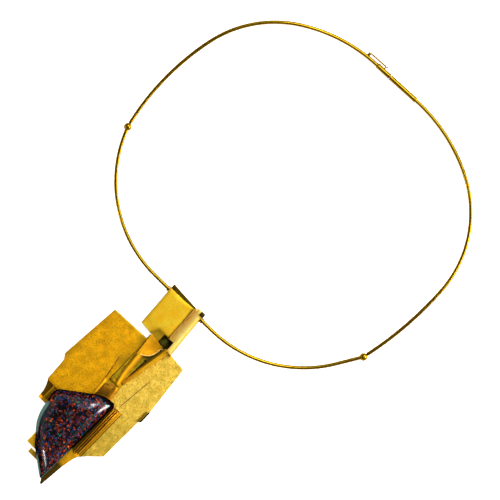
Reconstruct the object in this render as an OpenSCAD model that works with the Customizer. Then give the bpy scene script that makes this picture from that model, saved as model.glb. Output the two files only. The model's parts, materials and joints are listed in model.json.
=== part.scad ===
// Opal necklace: a hinged neck ring of round gold wire with a pendant of folded sheet gold
// that holds a long dark opal. All sizes are in millimetres.
// It lies on its back: +Z is up, +Y runs from the pendant's tip to the clasp.
// The pendant and the ring are drawn from the middle of the straight front wire.

/* [Neck ring] */
// Diameter of the ring wire
wire_d = 1.5; // [1.4:0.1:1.6]
// Height of the front wire's centre above the surface the piece lies on
wire_z = 4.6; // [4.5:0.1:4.8]
// Diameter of the two hinge balls
ball_d = 3.2; // [3.2:0.1:3.6]
// Diameter of the collars that keep the bail in the middle
collar_d = 2.3; // [2.1:0.1:2.6]
// Length of each collar
collar_l = 0.7; // [0.5:0.1:0.9]

/* [Hinges] */
// Thickness of the flat knuckle inside the ball
knuckle_t = 1.0; // [0.8:0.1:1.1]
// Radius of the knuckle
knuckle_r = 1.0; // [0.9:0.1:1.1]
// Diameter of the hinge pin
pin_d = 0.7; // [0.6:0.1:0.8]
// Radial room round the pin and the bail wire, and beside the knuckle
running = 0.05; // [0.03:0.01:0.08]

/* [Clasp] */
// Diameter of the sleeve on the left arc
sleeve_d = 2.1; // [2.0:0.1:2.3]
// Length of the sleeve
sleeve_l = 7; // [6.5:0.5:7.5]
// Diameter of the ferrule on the right arc
ferrule_d = 2.1; // [2.0:0.1:2.3]
// Length of the ferrule
ferrule_l = 13.5; // [12:0.5:14]
// Diameter of the tongue that slides into the sleeve
tongue_d = 0.9; // [0.7:0.1:0.9]
// Length of the tongue
tongue_l = 5; // [4.5:0.5:5]
// Gap between the sleeve's mouth and the ferrule
clasp_gap = 0.2; // [0.1:0.05:0.3]
// Diameter of the catch wire
catch_d = 0.55; // [0.5:0.05:0.6]

/* [Pendant] */
// Thickness of the sheet gold
sheet_t = 0.8; // [0.7:0.1:0.8]
// Gap between sheets that lie on each other
seam = 0.05; // [0.03:0.01:0.1]
// Height of the left plate's underside
left_plate_z = 2.9; // [2.8:0.1:3.0]
// Width of the saw slit in the left plate and in the ribbon
slit_w = 0.45; // [0.3:0.05:0.6]
// Width of the finer slit in the right plate
fine_slit_w = 0.3; // [0.2:0.05:0.4]

/* [Stone] */
// Height of the opal's flat base
stone_z = 3.8; // [3.8:0.1:4.0]
// Height of the stone's edge above its base
girdle_h = 0.9; // [0.6:0.1:1.2]
// Height of the dome above the edge
dome_h = 6.2; // [5:0.1:7]

/* [Hidden] */

$fn = 48;
wire_r = wire_d / 2;
ball_r = ball_d / 2;
pin_r = pin_d / 2;
EPS = 0.01;
TALL = 30;

// Where the middle of the front wire stands, so that the whole piece is centred on the origin
bail_at = [-0.54, -16.2];

// The wire is bent by tables whose rows are [straight, bend radius, bend angle]
STRAIGHT = 0;
RADIUS = 1;
TURN = 2;
// From the middle of the front wire to the hinge balls
RIGHT_FRONT = [[14.5, 51.5, 58.5], [11, 0, 0]];
LEFT_FRONT = [[16, 51, 67.5], [2.8, 0, 0]];
// From the neck of the knuckle to the wire's end inside the ferrule or the sleeve
RIGHT_REAR = [[0.4, 143, 15], [0, 46, 59], [0, 67, 30.5], [2, 0, 0]];
LEFT_REAR_BENDS = [[0.4, 103, 24.5], [0, 46.5, 46], [0, 64.5, 30]];
// Heading of the right arc as it leaves its ball, from the +X direction
right_heading = 77.5;
neck_l = ball_r + 0.2;
neck_w = 1;
// How far the wire's end is soldered into the ferrule and the sleeve
lap = 1.3;

// The bent wire is drawn with twelve flat sides that hold as much metal as the round one
SIDES = 12;
BEND_STEP = 4;
side_k = sqrt(2 * PI / (SIDES * sin(360 / SIDES)));

function turned(p, a) = [p.x * cos(a) - p.y * sin(a), p.x * sin(a) + p.y * cos(a)];

// End of a bent wire that starts at p with heading h, as [x, y, heading]
function wire_end(rows, p = [0, 0], h = 0, i = 0) =
    i == len(rows) ? [p.x, p.y, h] :
    let (run = rows[i][STRAIGHT], radius = rows[i][RADIUS], turn = rows[i][TURN])
    let (step = turned([run + radius * sin(turn), radius * (1 - cos(turn))], h))
    wire_end(rows, p + step, h + turn, i + 1);

// Stations along a bent wire, as [x, y, heading]: the ends of each straight and steps of each bend
function stations(rows, p = [0, 0], h = 0, i = 0) =
    i == len(rows) ? [[p.x, p.y, h]] :
    let (run = rows[i][STRAIGHT], radius = rows[i][RADIUS], turn = rows[i][TURN])
    let (count = max(1, ceil(turn / BEND_STEP)), end = wire_end([rows[i]], p, h))
    concat(
        run > 0 ? [[p.x, p.y, h]] : [],
        [for (k = [0:count - 1]) if (turn > 0) wire_end([[run, radius, turn * k / count]], p, h)],
        stations(rows, [end.x, end.y], end.z, i + 1));

right_ball = wire_end(RIGHT_FRONT);
left_ball = wire_end(LEFT_FRONT);
right_neck = [right_ball.x, right_ball.y] + turned([neck_l, 0], right_heading);
right_wire_end = wire_end(RIGHT_REAR, right_neck, right_heading);
seam_end = [right_wire_end.x, right_wire_end.y] + turned([ferrule_l - lap, 0], right_wire_end.z);

// The left arc is drawn mirrored. Its last straight and its heading at the ball are those
// that bring its end to the clasp seam, where the right arc ends.
left_reach = [-seam_end.x - left_ball.x, seam_end.y - left_ball.y];
left_bent = wire_end(LEFT_REAR_BENDS, [neck_l, 0]);
left_bent_p = [left_bent.x, left_bent.y];
left_run_dir = [cos(left_bent.z), sin(left_bent.z)];
left_along = left_bent_p * left_run_dir;
left_run = sqrt(left_along * left_along - left_bent_p * left_bent_p + left_reach * left_reach) - left_along;
LEFT_REAR = concat(LEFT_REAR_BENDS, [[left_run - sleeve_l + lap, 0, 0]]);
left_free_end = left_bent_p + left_run * left_run_dir;
left_heading = atan2(left_reach.y, left_reach.x) - atan2(left_free_end.y, left_free_end.x);

// The ring leans down from the bail until the far end of its ferrule touches the surface
ring_reach = seam_end.y - ferrule_l * sin(right_wire_end.z);
ring_tilt = asin((wire_z - ferrule_d / 2) / ring_reach);

// The catch wire's eye turns on a post this far back from the clasp seam and out from the wire's centre
catch_back = 12.1;
catch_out = 1.4;
catch_heading = -30;
CATCH = [[0.5, 1, 29], [6.8, 0.45, 91], [0.6, 0, 0]];
catch_end = wire_end(CATCH, [-catch_back, -catch_out], catch_heading);
eye_d = 1.1;
eye_h = 0.5;
post_d = 0.5;
hole_room = 0.1;

// Side profile of the bail, as [y, z] along the outside of the sheet
PANEL_FOOT = [-17.5, 4.9];
TOP_FOLD = [1, 6.6];
BACK_FOLD = [2.9, 0];
JOGGLE_FOOT = [-16.8, 0];
ribbon_z = 1.7;
JOGGLE_HEAD = [-18.2, ribbon_z];
fold_slant = 3.75;
tube_r = 1.25;
tube_from = -8.35;
tube_to = 9;
collar_gap = 0.12;

// Column along the bail's right side: centre line from its top to its foot, and its radius
COLUMN_TOP = [6.5, 2.3, 4.9];
COLUMN_FOOT = [8, -17.4, 3.4];
column_r = 2.15;

// The pendant's outlines, each row [x, y] from the middle of the front wire
PANEL = [[-8.3, 2.9], [3.9, 1.7], [4.8, -13.8], [2, -14.3], [2.6, -17.8], [-7.3, -16.8]];
BACK_LEAF = [[-8.3, 2.9], [8.4, 1.9], [10, -16.4], [8.4, -18.4], [7.7, -22.5], [6.3, -31],
             [4.7, -39.3], [5.4, -46.8], [4, -48.6], [-0.9, -48.6], [-0.9, -17], [-7.3, -16.6]];
LOBE = [[-0.9, -17], [5.2, -17], [5.2, -20], [4.7, -23.2], [3.4, -25], [1.2, -26], [-0.9, -26]];
LEFT_PLATE = [[-18.1, -20.3], [-1, -19.8], [-1, -50.6], [-11.2, -58.4], [-18.1, -58.2],
              [-18.7, -48.3], [-20.2, -46.1]];
RIGHT_PLATE = [[1, -19.2], [9.2, -18.4], [17.5, -18.8], [19.7, -39.5], [19.1, -45.9], [18.8, -64.7],
               [14.1, -69.1], [12, -71.5], [8.4, -71.5], [8.4, -47.4], [1, -47.4]];
// Saw slits, each as [start, end]
LEFT_SLIT = [[-4.1, -32.7], [-2.3, -42]];
RIGHT_SLIT = [[11.3, -31], [9.7, -46.8]];
RIBBON_SLIT = [[4.4, -26.6], [4, -39]];

// Stone outline, each row [x, y, corner radius]
CORNER = 2;
STONE = [[7.2, -88.2, 0.5], [8.4, -46.9, 1.5], [2.5, -47.2, 10], [-13.2, -58.6, 3.5],
         [-10.9, -71.5, 16], [-3.2, -80.4, 12]];
// Ridge line under the dome's crest
RIDGE = [[1.2, -57], [4.2, -77]];
gallery_inset = 1.7;
gallery_w = 0.8;

module at_bail() {
    translate([bail_at.x, bail_at.y, 0]) children();
}

module in_ring_plane() {
    at_bail() translate([0, 0, wire_z]) rotate([-ring_tilt, 0, 0]) children();
}

// Round rod from the origin along +X
module rod(length, d) {
    rotate([0, 90, 0]) cylinder(h = length, d = d);
}

// Round rod between two points
module rod_between(p, q, d) {
    run = q - p;
    flat = norm([run.x, run.y]);
    translate(p) rotate([0, atan2(flat, run.z), atan2(run.y, run.x)]) cylinder(h = norm(run), d = d);
}

// Wire along +X from the origin, bent to the left by a table, with a ring of points at each station
module bent_wire(rows, d = wire_d) {
    along = stations(rows);
    rings = len(along);
    r = side_k * d / 2;
    points = [for (s = along, k = [0:SIDES - 1])
        let (a = (k + 0.5) * 360 / SIDES)
        [s.x - r * cos(a) * sin(s.z), s.y + r * cos(a) * cos(s.z), r * sin(a)]];
    skin = [for (i = [0:rings - 2], k = [0:SIDES - 1])
        let (next = (k + 1) % SIDES)
        [i * SIDES + k, (i + 1) * SIDES + k, (i + 1) * SIDES + next, i * SIDES + next]];
    start = [for (k = [0:SIDES - 1]) k];
    end = [for (k = [0:SIDES - 1]) rings * SIDES - 1 - k];
    polyhedron(points = points, faces = concat(skin, [start, end]));
}

// Places its children at the end of a bent wire, with +X along the wire
module at_wire_end(rows) {
    end = wire_end(rows);
    translate([end.x, end.y, 0]) rotate([0, 0, end.z]) children();
}

// Slot for the knuckle, open towards +X, and the bore for its pin
module ball_slot() {
    slot_t = knuckle_t + 2 * running;
    translate([0, 0, -slot_t / 2]) cylinder(h = slot_t, r = knuckle_r + 2 * running);
    translate([0, -ball_d, -slot_t / 2]) cube([ball_d, 2 * ball_d, slot_t]);
    translate([0, 0, -ball_d]) cylinder(h = 2 * ball_d, r = pin_r + EPS);
}

module hinge_pin() {
    head = sqrt(ball_r * ball_r - pin_r * pin_r);
    translate([0, 0, -head]) cylinder(h = 2 * head, r = pin_r);
}

// Flat knuckle round the pin, with the neck that carries the wire
module knuckle() {
    difference() {
        union() {
            translate([0, 0, -knuckle_t / 2]) cylinder(h = knuckle_t, r = knuckle_r);
            translate([0, -neck_w / 2, -knuckle_t / 2]) cube([neck_l + 0.3, neck_w, knuckle_t]);
        }
        translate([0, 0, -knuckle_t]) cylinder(h = 2 * knuckle_t, r = pin_r + running);
    }
}

// Half of the front wire, from inside its collar to the slotted ball soldered on its end
module front_half(rows, collar_from) {
    start = collar_from + collar_l / 2 + EPS;
    difference() {
        union() {
            translate([start, 0, 0]) bent_wire(concat([rows[0] - [start, 0, 0]], [rows[1]]));
            at_wire_end(rows) sphere(d = ball_d);
        }
        at_wire_end(rows) ball_slot();
    }
    translate([collar_from, 0, 0]) rod(collar_l, collar_d);
}

module front_wire() {
    right_collar = tube_to + collar_gap;
    left_collar = -tube_from + collar_gap;
    color("gold") in_ring_plane() {
        front_half(RIGHT_FRONT, right_collar);
        mirror([1, 0, 0]) front_half(LEFT_FRONT, left_collar);
        translate([-left_collar - collar_l / 2, 0, 0]) rod(left_collar + right_collar + collar_l, wire_d);
    }
}

module at_right_ball() {
    in_ring_plane() translate([right_ball.x, right_ball.y, 0]) children();
}

module at_left_ball() {
    in_ring_plane() mirror([1, 0, 0]) translate([left_ball.x, left_ball.y, 0]) children();
}

module right_hinge_pin() {
    color("goldenrod") at_right_ball() hinge_pin();
}

module left_hinge_pin() {
    color("goldenrod") at_left_ball() hinge_pin();
}

// Hinged arc of the ring; its children stand at its free end
module hinged_arc(heading, rows) {
    rotate([0, 0, heading]) {
        knuckle();
        translate([neck_l, 0, 0]) {
            bent_wire(rows);
            at_wire_end(rows) children();
        }
    }
}

module right_arc() {
    color("gold") at_right_ball() hinged_arc(right_heading, RIGHT_REAR) {
        translate([-lap, 0, 0]) rod(ferrule_l, ferrule_d);
        rod(ferrule_l - lap + tongue_l, tongue_d);
    }
}

// Stands at the clasp seam on the left arc, with +X out of the sleeve and -Y on the ring's outside
module at_sleeve_mouth() {
    rotate([0, 0, left_heading]) translate([neck_l, 0, 0]) at_wire_end(LEFT_REAR)
        translate([sleeve_l - lap, 0, 0]) children();
}

// Post with a foot soldered to the wire and a head that keeps the eye on it
module catch_post() {
    foot_top = -eye_h / 2 - running;
    foot_t = 0.4;
    translate([-eye_d / 2, -eye_d / 2, foot_top - foot_t]) cube([eye_d, eye_d / 2 + catch_out, foot_t]);
    translate([0, 0, foot_top - foot_t / 2]) cylinder(h = eye_h + foot_t, d = post_d);
    translate([0, 0, -foot_top]) cylinder(h = 0.2, d = post_d + 0.3);
}

module left_arc() {
    bore_d = tongue_d + 0.55;
    color("gold") at_left_ball() difference() {
        union() {
            hinged_arc(left_heading, LEFT_REAR);
            at_sleeve_mouth() {
                translate([-sleeve_l, 0, 0]) rod(sleeve_l - clasp_gap, sleeve_d);
                translate([-catch_back, -catch_out, 0]) catch_post();
            }
        }
        at_sleeve_mouth() {
            translate([-tongue_l - 0.5, 0, 0]) rod(tongue_l + 1, bore_d);
            translate([catch_end.x, 0, 0]) rotate([90, 0, 0])
                cylinder(h = sleeve_d, d = catch_d + 2 * hole_room);
        }
    }
}

module catch_wire() {
    nib_l = 1.1;
    eye_wall = post_d / 2 + 0.1;
    color("goldenrod") at_left_ball() at_sleeve_mouth() {
        translate([-catch_back, -catch_out, 0]) difference() {
            union() {
                rotate([0, 0, catch_heading]) translate([eye_wall, 0, 0])
                    bent_wire([CATCH[0] - [eye_wall, 0, 0], CATCH[1], CATCH[2]], catch_d);
                translate([0, 0, -eye_h / 2]) cylinder(h = eye_h, d = eye_d);
            }
            translate([0, 0, -eye_h]) cylinder(h = 2 * eye_h, d = post_d + 2 * running);
        }
        translate([catch_end.x - 0.15, catch_end.y - 0.85, 0]) rotate([0, 0, catch_heading])
            rod(nib_l, catch_d * 0.8);
    }
}

// Stands a drawing of [y, z] points up and draws it out along +X
module across(from, to) {
    translate([from, 0, 0]) rotate([90, 0, 90]) linear_extrude(to - from) children();
}

// Keeps what lies under a plan outline
module cut_to(outline) {
    intersection() {
        children();
        linear_extrude(TALL) polygon(outline);
    }
}

// Straight saw cut through everything between two plan points
module saw_cut(line, w) {
    run = line[1] - line[0];
    translate([line[0].x, line[0].y, -1]) rotate([0, 0, atan2(run.y, run.x)])
        translate([0, -w / 2, 0]) cube([norm(run), w, TALL]);
}

// Front panel and top face of the bail, folded from one sheet
module bail_front() {
    slope = (TOP_FOLD.y - PANEL_FOOT.y) / (TOP_FOLD.x - PANEL_FOOT.x);
    under = [TOP_FOLD.x - 0.62, TOP_FOLD.y - sheet_t - 0.62 * slope];
    cut_to(PANEL) rotate([0, 0, fold_slant]) across(-12, 8) polygon([
        PANEL_FOOT - [2, 2 * slope], TOP_FOLD, BACK_FOLD + [1, 0],
        BACK_FOLD + [1 - sheet_t, 0], under, PANEL_FOOT - [2, sheet_t + 2 * slope]]);
}

// Back leaf that the bail lies on, stepping up to become the floor of the ribbon
module back_leaf() {
    cut_to(BACK_LEAF) across(-10, 12) polygon([
        BACK_FOLD, JOGGLE_FOOT, JOGGLE_HEAD, [-50, ribbon_z], [-50, ribbon_z + sheet_t],
        JOGGLE_HEAD + [0.3, sheet_t], JOGGLE_FOOT + [0.3, sheet_t], BACK_FOLD + [0, sheet_t]]);
}

// Half-round column along the right side, closed down to the back leaf by a side wall
module column() {
    difference() {
        union() {
            rod_between(COLUMN_TOP, COLUMN_FOOT, 2 * column_r);
            cut_to([[7.5, 2.3], [8.4, 2.3], [10.1, -16.4], [9.2, -17.4]]) translate([6, -18, 0])
                cube([5, 21, 4.6]);
        }
        rod_between(COLUMN_TOP + [0, 1, 0], COLUMN_FOOT - [0, 1, 0], 2 * (column_r - sheet_t));
        translate([3, -20, 0]) cube([4.6, 5.8, TALL]);
        translate([6.9, 0.9, COLUMN_TOP.z + 1]) cube([3, 3, 3]);
        translate([3.5, -20, -1]) cube([4, 24, 4.6]);
    }
}

// Facet that falls from the bail's foot to the ribbon's floor
module lobe() {
    cut_to(LOBE) across(-2, 6) polygon([
        [-17, 5], [-27, ribbon_z + 0.2], [-27, ribbon_z], [-17, 5 - sheet_t]]);
}

// Rounded left flank and narrow right edge of the ribbon
module ribbon_edges() {
    rod_between([0.2, -18.6, 3.1], [2.3, -41.2, 2.9], 1.9);
    rod_between([8.6, -17.6, 3.2], [4.4, -39.2, 2.7], 1.1);
}

// Short creased strip between the ribbon and the stone
module neck_strip() {
    ridge_x = 2.8;
    translate([0, -41.4, 0]) rotate([90, 0, 0]) linear_extrude(6.6) polygon([
        [-0.85, ribbon_z], [5, ribbon_z], [4.9, 2.6], [ridge_x, 3.6], [-0.85, 2.7]]);
}

module bail_fold() {
    color("goldenrod") at_bail() difference() {
        union() {
            bail_front();
            back_leaf();
            column();
            lobe();
            ribbon_edges();
            neck_strip();
            translate([tube_from, 0, wire_z]) rod(tube_to - tube_from, 2 * tube_r);
        }
        translate([tube_from - 1, 0, wire_z]) rod(tube_to - tube_from + 2, wire_d + 2 * running);
        saw_cut(RIBBON_SLIT, slit_w);
        translate([RIBBON_SLIT[0].x, RIBBON_SLIT[0].y, -1]) cylinder(h = TALL, d = 0.8);
    }
}

module left_plate() {
    color("orange") at_bail() translate([0, 0, left_plate_z]) difference() {
        linear_extrude(sheet_t) polygon(LEFT_PLATE);
        saw_cut(LEFT_SLIT, slit_w);
    }
}

// The small tab on the right edge is soldered on
module right_plate() {
    plate_z = sheet_t + seam;
    color("khaki") at_bail() translate([0, 0, plate_z]) difference() {
        union() {
            linear_extrude(sheet_t) polygon(RIGHT_PLATE);
            translate([18.6, -45.1, 0]) cube([1.3, 5.2, 1.6]);
        }
        saw_cut(RIGHT_SLIT, fine_slit_w);
    }
}

// Corner of a closed outline rounded with its radius, as points on an arc
function corner_points(rows, i) =
    let (n = len(rows), p = rows[i], before = rows[(i + n - 1) % n], after = rows[(i + 1) % n])
    let (a = [before.x - p.x, before.y - p.y], b = [after.x - p.x, after.y - p.y])
    let (ua = a / norm(a), ub = b / norm(b), half = acos(ua * ub) / 2)
    let (middle = (ua + ub) / norm(ua + ub), centre = [p.x, p.y] + middle * p[CORNER] / sin(half))
    let (from = atan2(-middle.y, -middle.x), sweep = 90 - half, steps = 8)
    [for (k = [0:steps]) let (angle = from + sweep * (2 * k / steps - 1))
        centre + p[CORNER] * [cos(angle), sin(angle)]];

function rounded(rows) = [for (i = [0:len(rows) - 1]) each corner_points(rows, i)];

// Rows of an anticlockwise outline moved inward by d. The corners tighten twice as fast, so that
// they still fit on the short sides.
function inset(rows, d) =
    let (n = len(rows), at = [for (row = rows) [row.x, row.y]])
    [for (i = [0:n - 1])
        let (a = at[i] - at[(i + n - 1) % n], b = at[(i + 1) % n] - at[i])
        let (na = [-a.y, a.x] / norm(a), nb = [-b.y, b.x] / norm(b))
        let (p = at[i] + d * (na + nb) / (1 + na * nb))
        [p.x, p.y, max(rows[i][CORNER] - 2 * d, 0.3)]];

stone_outline = rounded(STONE);

module gallery() {
    outer = rounded(inset(STONE, gallery_inset));
    inner = rounded(inset(STONE, gallery_inset + gallery_w));
    top = stone_z - seam;
    linear_extrude(sheet_t) polygon(outer);
    difference() {
        linear_extrude(top) polygon(outer);
        translate([0, 0, -1]) linear_extrude(TALL) polygon(inner);
    }
}

// Ribbed band that slopes from the stone's straight edge down to the right plate
module ribbed_band() {
    top = [8.5, stone_z + girdle_h + 0.4];
    foot = [12, 2 * sheet_t + 2 * seam];
    ribs = 4;
    step = (foot - top) / ribs;
    translate([0, -49, 0]) rotate([90, 0, 0]) linear_extrude(22.5) polygon(concat(
        [for (i = [0:ribs - 1]) each [top + i * step, top + (i + 0.8) * step + [0.25, 0.25]]],
        [foot, foot - [sheet_t + 0.6, 0], [6, stone_z - seam - sheet_t], [6, stone_z - seam],
         [top.x, stone_z - seam]]));
}

// Strip that follows the stone's lower edge to its tip
module lower_strip() {
    translate([0, 0, 1.7]) linear_extrude(stone_z - seam - 1.7) polygon([
        [12, -71.2], [11, -73.2], [9.9, -78.7], [9.4, -84], [9.5, -89.1], [8.5, -89.2],
        [8.5, -87.5], [6.5, -86], [5.8, -71.2]]);
}

// Bent tabs that reach out from under the stone
module setting_tabs() {
    translate([0, -58.7, 0]) rotate([90, 0, 0]) linear_extrude(7) polygon([
        [-17, 0.8], [-14.5, 3.4], [-11.5, 2.2], [-9, 2.2], [-9, 1.4], [-11.6, 1.4], [-14.4, 2.4], [-16.1, 0.8]]);
    translate([-7, -81.1, 2.7]) cube([8, 5.1, sheet_t]);
    translate([-3.9, -83.7, 2.4]) cube([7.5, 2, sheet_t]);
}

module stone_setting() {
    color("darkgoldenrod") at_bail() {
        gallery();
        ribbed_band();
        lower_strip();
        setting_tabs();
    }
}

// Nearest point to p on the ridge line
function on_ridge(p) =
    let (run = RIDGE[1] - RIDGE[0], t = (p - RIDGE[0]) * run / (run * run))
    RIDGE[0] + run * min(1, max(0, t));

// Dome drawn from the outline towards the ridge line, one ring of points for each step
module opal() {
    n = len(stone_outline);
    steps = 9;
    base = rounded(inset(STONE, 0.3));
    rings = concat(
        [[for (p = base) [p.x, p.y, stone_z]]],
        [for (k = [0:steps])
            let (lift = 85 * k / steps, s = cos(lift), z = stone_z + girdle_h + dome_h * sin(lift))
            [for (p = stone_outline) let (r = on_ridge(p), q = r + (p - r) * s) [q.x, q.y, z]]]);
    count = len(rings);
    sides = [for (k = [0:count - 2], i = [0:n - 1])
        [k * n + i, (k + 1) * n + i, (k + 1) * n + (i + 1) % n, k * n + (i + 1) % n]];
    foot = [for (i = [0:n - 1]) i];
    crown = [for (i = [0:n - 1]) count * n - 1 - i];
    color("midnightblue") at_bail() polyhedron(
        points = [for (ring = rings) each ring],
        faces = concat(sides, [foot, crown]));
}

front_wire();
left_hinge_pin();
right_hinge_pin();
left_arc();
right_arc();
catch_wire();
bail_fold();
left_plate();
right_plate();
stone_setting();
opal();
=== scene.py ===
import cmath
import json
import math

import bmesh
import bpy
from mathutils import Matrix, Vector, noise


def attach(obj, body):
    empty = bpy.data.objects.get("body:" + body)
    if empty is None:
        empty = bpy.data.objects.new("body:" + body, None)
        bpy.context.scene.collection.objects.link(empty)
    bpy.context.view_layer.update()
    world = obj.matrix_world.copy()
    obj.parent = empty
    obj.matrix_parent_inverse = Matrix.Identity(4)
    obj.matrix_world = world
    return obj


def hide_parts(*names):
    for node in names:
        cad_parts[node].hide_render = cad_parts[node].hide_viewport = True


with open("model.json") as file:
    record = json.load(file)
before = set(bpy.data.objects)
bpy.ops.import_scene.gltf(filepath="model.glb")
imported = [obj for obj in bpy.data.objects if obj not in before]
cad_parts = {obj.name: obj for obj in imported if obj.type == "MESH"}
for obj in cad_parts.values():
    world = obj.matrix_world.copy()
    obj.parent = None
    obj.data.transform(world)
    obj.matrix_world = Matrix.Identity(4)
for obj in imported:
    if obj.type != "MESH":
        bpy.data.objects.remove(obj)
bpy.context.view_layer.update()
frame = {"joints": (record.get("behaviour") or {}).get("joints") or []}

scene = bpy.context.scene
joints = {joint["name"]: joint for joint in frame["joints"]}
MM = 0.001

# Camera. It looks straight down on the necklace from far off, turned so that the clasp points
# up and to the right.
CAMERA_HEIGHT = 2.5
VIEW_WIDTH = 0.195
VIEW_TURN = math.radians(44.27)
VIEW_MIDDLE = (0.00288, 0.01663)
camera_data = bpy.data.cameras.new("camera")
camera_data.sensor_width = 36
camera_data.lens = camera_data.sensor_width * CAMERA_HEIGHT / VIEW_WIDTH
camera = bpy.data.objects.new("camera", camera_data)
camera.location = (*VIEW_MIDDLE, CAMERA_HEIGHT)
camera.rotation_euler = (0, 0, VIEW_TURN)
scene.collection.objects.link(camera)
scene.camera = camera
scene.view_settings.view_transform = "Standard"

# Studio. A pale floor stands inside a round white tent that is open at the top, where the
# camera looks in, and small soft lights give the stone its highlights.
TENT_LIGHT = 0.4
TENT_HOLE_LIGHT = 0.02
HOLE_EDGE = (0.63, 0.73)
FLOOR_SIZE = 4
FLOOR_GLOW = 0.85
FLOOR_GREY = 0.93


def graph(tree):
    """Returns a function that adds a node to the tree, sets its values and wires its inputs"""
    def node(kind, values=None, **inputs):
        made = tree.nodes.new(kind)
        for name, value in (values or {}).items():
            setattr(made, name, value)
        for name, value in inputs.items():
            key = int(name[1:]) if name[1:].isdigit() else name.replace("_", " ")
            if isinstance(value, bpy.types.NodeSocket):
                tree.links.new(value, made.inputs[key])
            else:
                made.inputs[key].default_value = value
        return made
    return node


world = bpy.data.worlds.new("tent")
world.use_nodes = True
world.node_tree.nodes.clear()
add = graph(world.node_tree)
direction = add("ShaderNodeTexCoord").outputs["Generated"]
height = add("ShaderNodeSeparateXYZ", Vector=direction).outputs["Z"]
tent = add("ShaderNodeMapRange", {"interpolation_type": "SMOOTHSTEP"}, Value=height,
           From_Min=HOLE_EDGE[0], From_Max=HOLE_EDGE[1], To_Min=TENT_LIGHT, To_Max=TENT_HOLE_LIGHT)
background = add("ShaderNodeBackground", Color=(1, 1, 1, 1), Strength=tent.outputs["Result"])
add("ShaderNodeOutputWorld", Surface=background.outputs["Background"])
scene.world = world

floor_mesh = bpy.data.meshes.new("floor")
half = FLOOR_SIZE / 2
floor_mesh.from_pydata([(-half, -half, 0), (half, -half, 0), (half, half, 0), (-half, half, 0)],
                       [], [(0, 1, 2, 3)])
floor_finish = bpy.data.materials.new("floor")
floor_finish.use_nodes = True
floor_shader = floor_finish.node_tree.nodes["Principled BSDF"]
for name, value in (("Base Color", (FLOOR_GREY, FLOOR_GREY, FLOOR_GREY, 1)), ("Roughness", 0.9),
                    ("Emission Color", (1, 1, 1, 1)), ("Emission Strength", FLOOR_GLOW)):
    floor_shader.inputs[name].default_value = value
floor_mesh.materials.append(floor_finish)
floor = bpy.data.objects.new("floor", floor_mesh)
scene.collection.objects.link(floor)

STONE_AT = Vector((0.004, -0.08, 0))
LIGHT_AWAY = 1.2


def strip_light(name, start, end, width, power, colour=(1, 1, 1)):
    """Long soft light that faces the stone between two directions, each (turn, rise) in degrees"""
    ends = []
    for turn, rise in (start, end):
        a, b = math.radians(turn), math.radians(rise)
        aim = Vector((math.cos(a) * math.cos(b), math.sin(a) * math.cos(b), math.sin(b)))
        ends.append(STONE_AT + LIGHT_AWAY * aim)
    middle, along = (ends[0] + ends[1]) / 2, (ends[1] - ends[0]).normalized()
    outward = (middle - STONE_AT - (middle - STONE_AT).project(along)).normalized()
    data = bpy.data.lights.new(name, "AREA")
    data.shape = "RECTANGLE"
    data.size, data.size_y = (ends[1] - ends[0]).length, width
    data.energy, data.color = power, colour
    light = bpy.data.objects.new(name, data)
    light.location = middle
    light.rotation_euler = Matrix((along, outward.cross(along), outward)).transposed().to_euler()
    scene.collection.objects.link(light)


strip_light("strip_left", (119, 47), (101, 51), 0.24, 4.6)
strip_light("soft_box", (104, 50), (70, 56), 0.9, 9, (0.7, 0.85, 1))
strip_light("strip_right", (15, 32), (63, 17), 0.24, 16)
strip_light("strip_near", (-127, 35), (-127, 25), 0.08, 1.7)


# Ring wire at the front. Drawn round gold wire, bent to the neck and polished, passes through the
# bail. Two soldered collars keep the bail in the middle, and each side ends in a slotted ball with
# a riveted pin.
WIRE_R = 0.75
STRAIGHT, RADIUS, TURN = range(3)
RIGHT_FRONT = [(14.5, 51.5, 58.5), (11, 0, 0)]
LEFT_FRONT = [(16, 51, 67.5), (2.8, 0, 0)]
BEND_STEP = 2
TUBE_ENDS = (-8.35, 9.0)
COLLAR_GAP = 0.12
COLLAR_L = 0.7
COLLAR = (WIRE_R - 0.05, 1.15, 0.12)
BALL_R = 1.6
BALL_STEPS = 14
SLOT_HALF = 0.55
SLOT_R = 1.1
PIN_R = 0.35
PIN_HEAD = math.sqrt(BALL_R ** 2 - PIN_R ** 2)
TURNED_SIDES = 48

BAIL_AT = Vector(joints["pendant_swing"]["pos_m"]) / MM
RING_NORMAL = Vector(joints["right_hinge"]["axis"]).normalized()
ACROSS = Vector((1, 0, 0))
RING_PLANE = Matrix((ACROSS, RING_NORMAL.cross(ACROSS), RING_NORMAL)).transposed().to_4x4()
RING_PLANE.translation = BAIL_AT
MIRRORED = RING_PLANE @ Matrix.Diagonal((-1, 1, 1, 1))
UPRIGHT = Matrix.Rotation(-math.pi / 2, 4, "Y")


def new_material(name):
    """Material without nodes, the function that adds them, and the places that map them"""
    material = bpy.data.materials.new(name)
    material.use_nodes = True
    material.node_tree.nodes.clear()
    add = graph(material.node_tree)
    return material, add, add("ShaderNodeTexCoord").outputs["Object"]


def blend(add, share, under, over):
    return add("ShaderNodeMix", {"data_type": "RGBA"}, _0=share, _6=under, _7=over).outputs[2]


def stretched(add, value, low, high, **ends):
    """Stretches what lies between two levels to 0 and 1, or to the ends that are given"""
    node = add("ShaderNodeMapRange", Value=value, From_Min=low, From_Max=high, **ends)
    return node.outputs["Result"]


def cloud(add, place, size, detail=2.0, roughness=0.6):
    """Soft noise with patches of a size in millimetres"""
    return add("ShaderNodeTexNoise", Vector=place, Scale=1 / (size * MM), Detail=detail,
               Roughness=roughness).outputs["Fac"]


def marked(add, layer):
    """The value that the piece itself carries at each point"""
    return add("ShaderNodeAttribute", {"attribute_name": layer}).outputs["Fac"]


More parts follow.
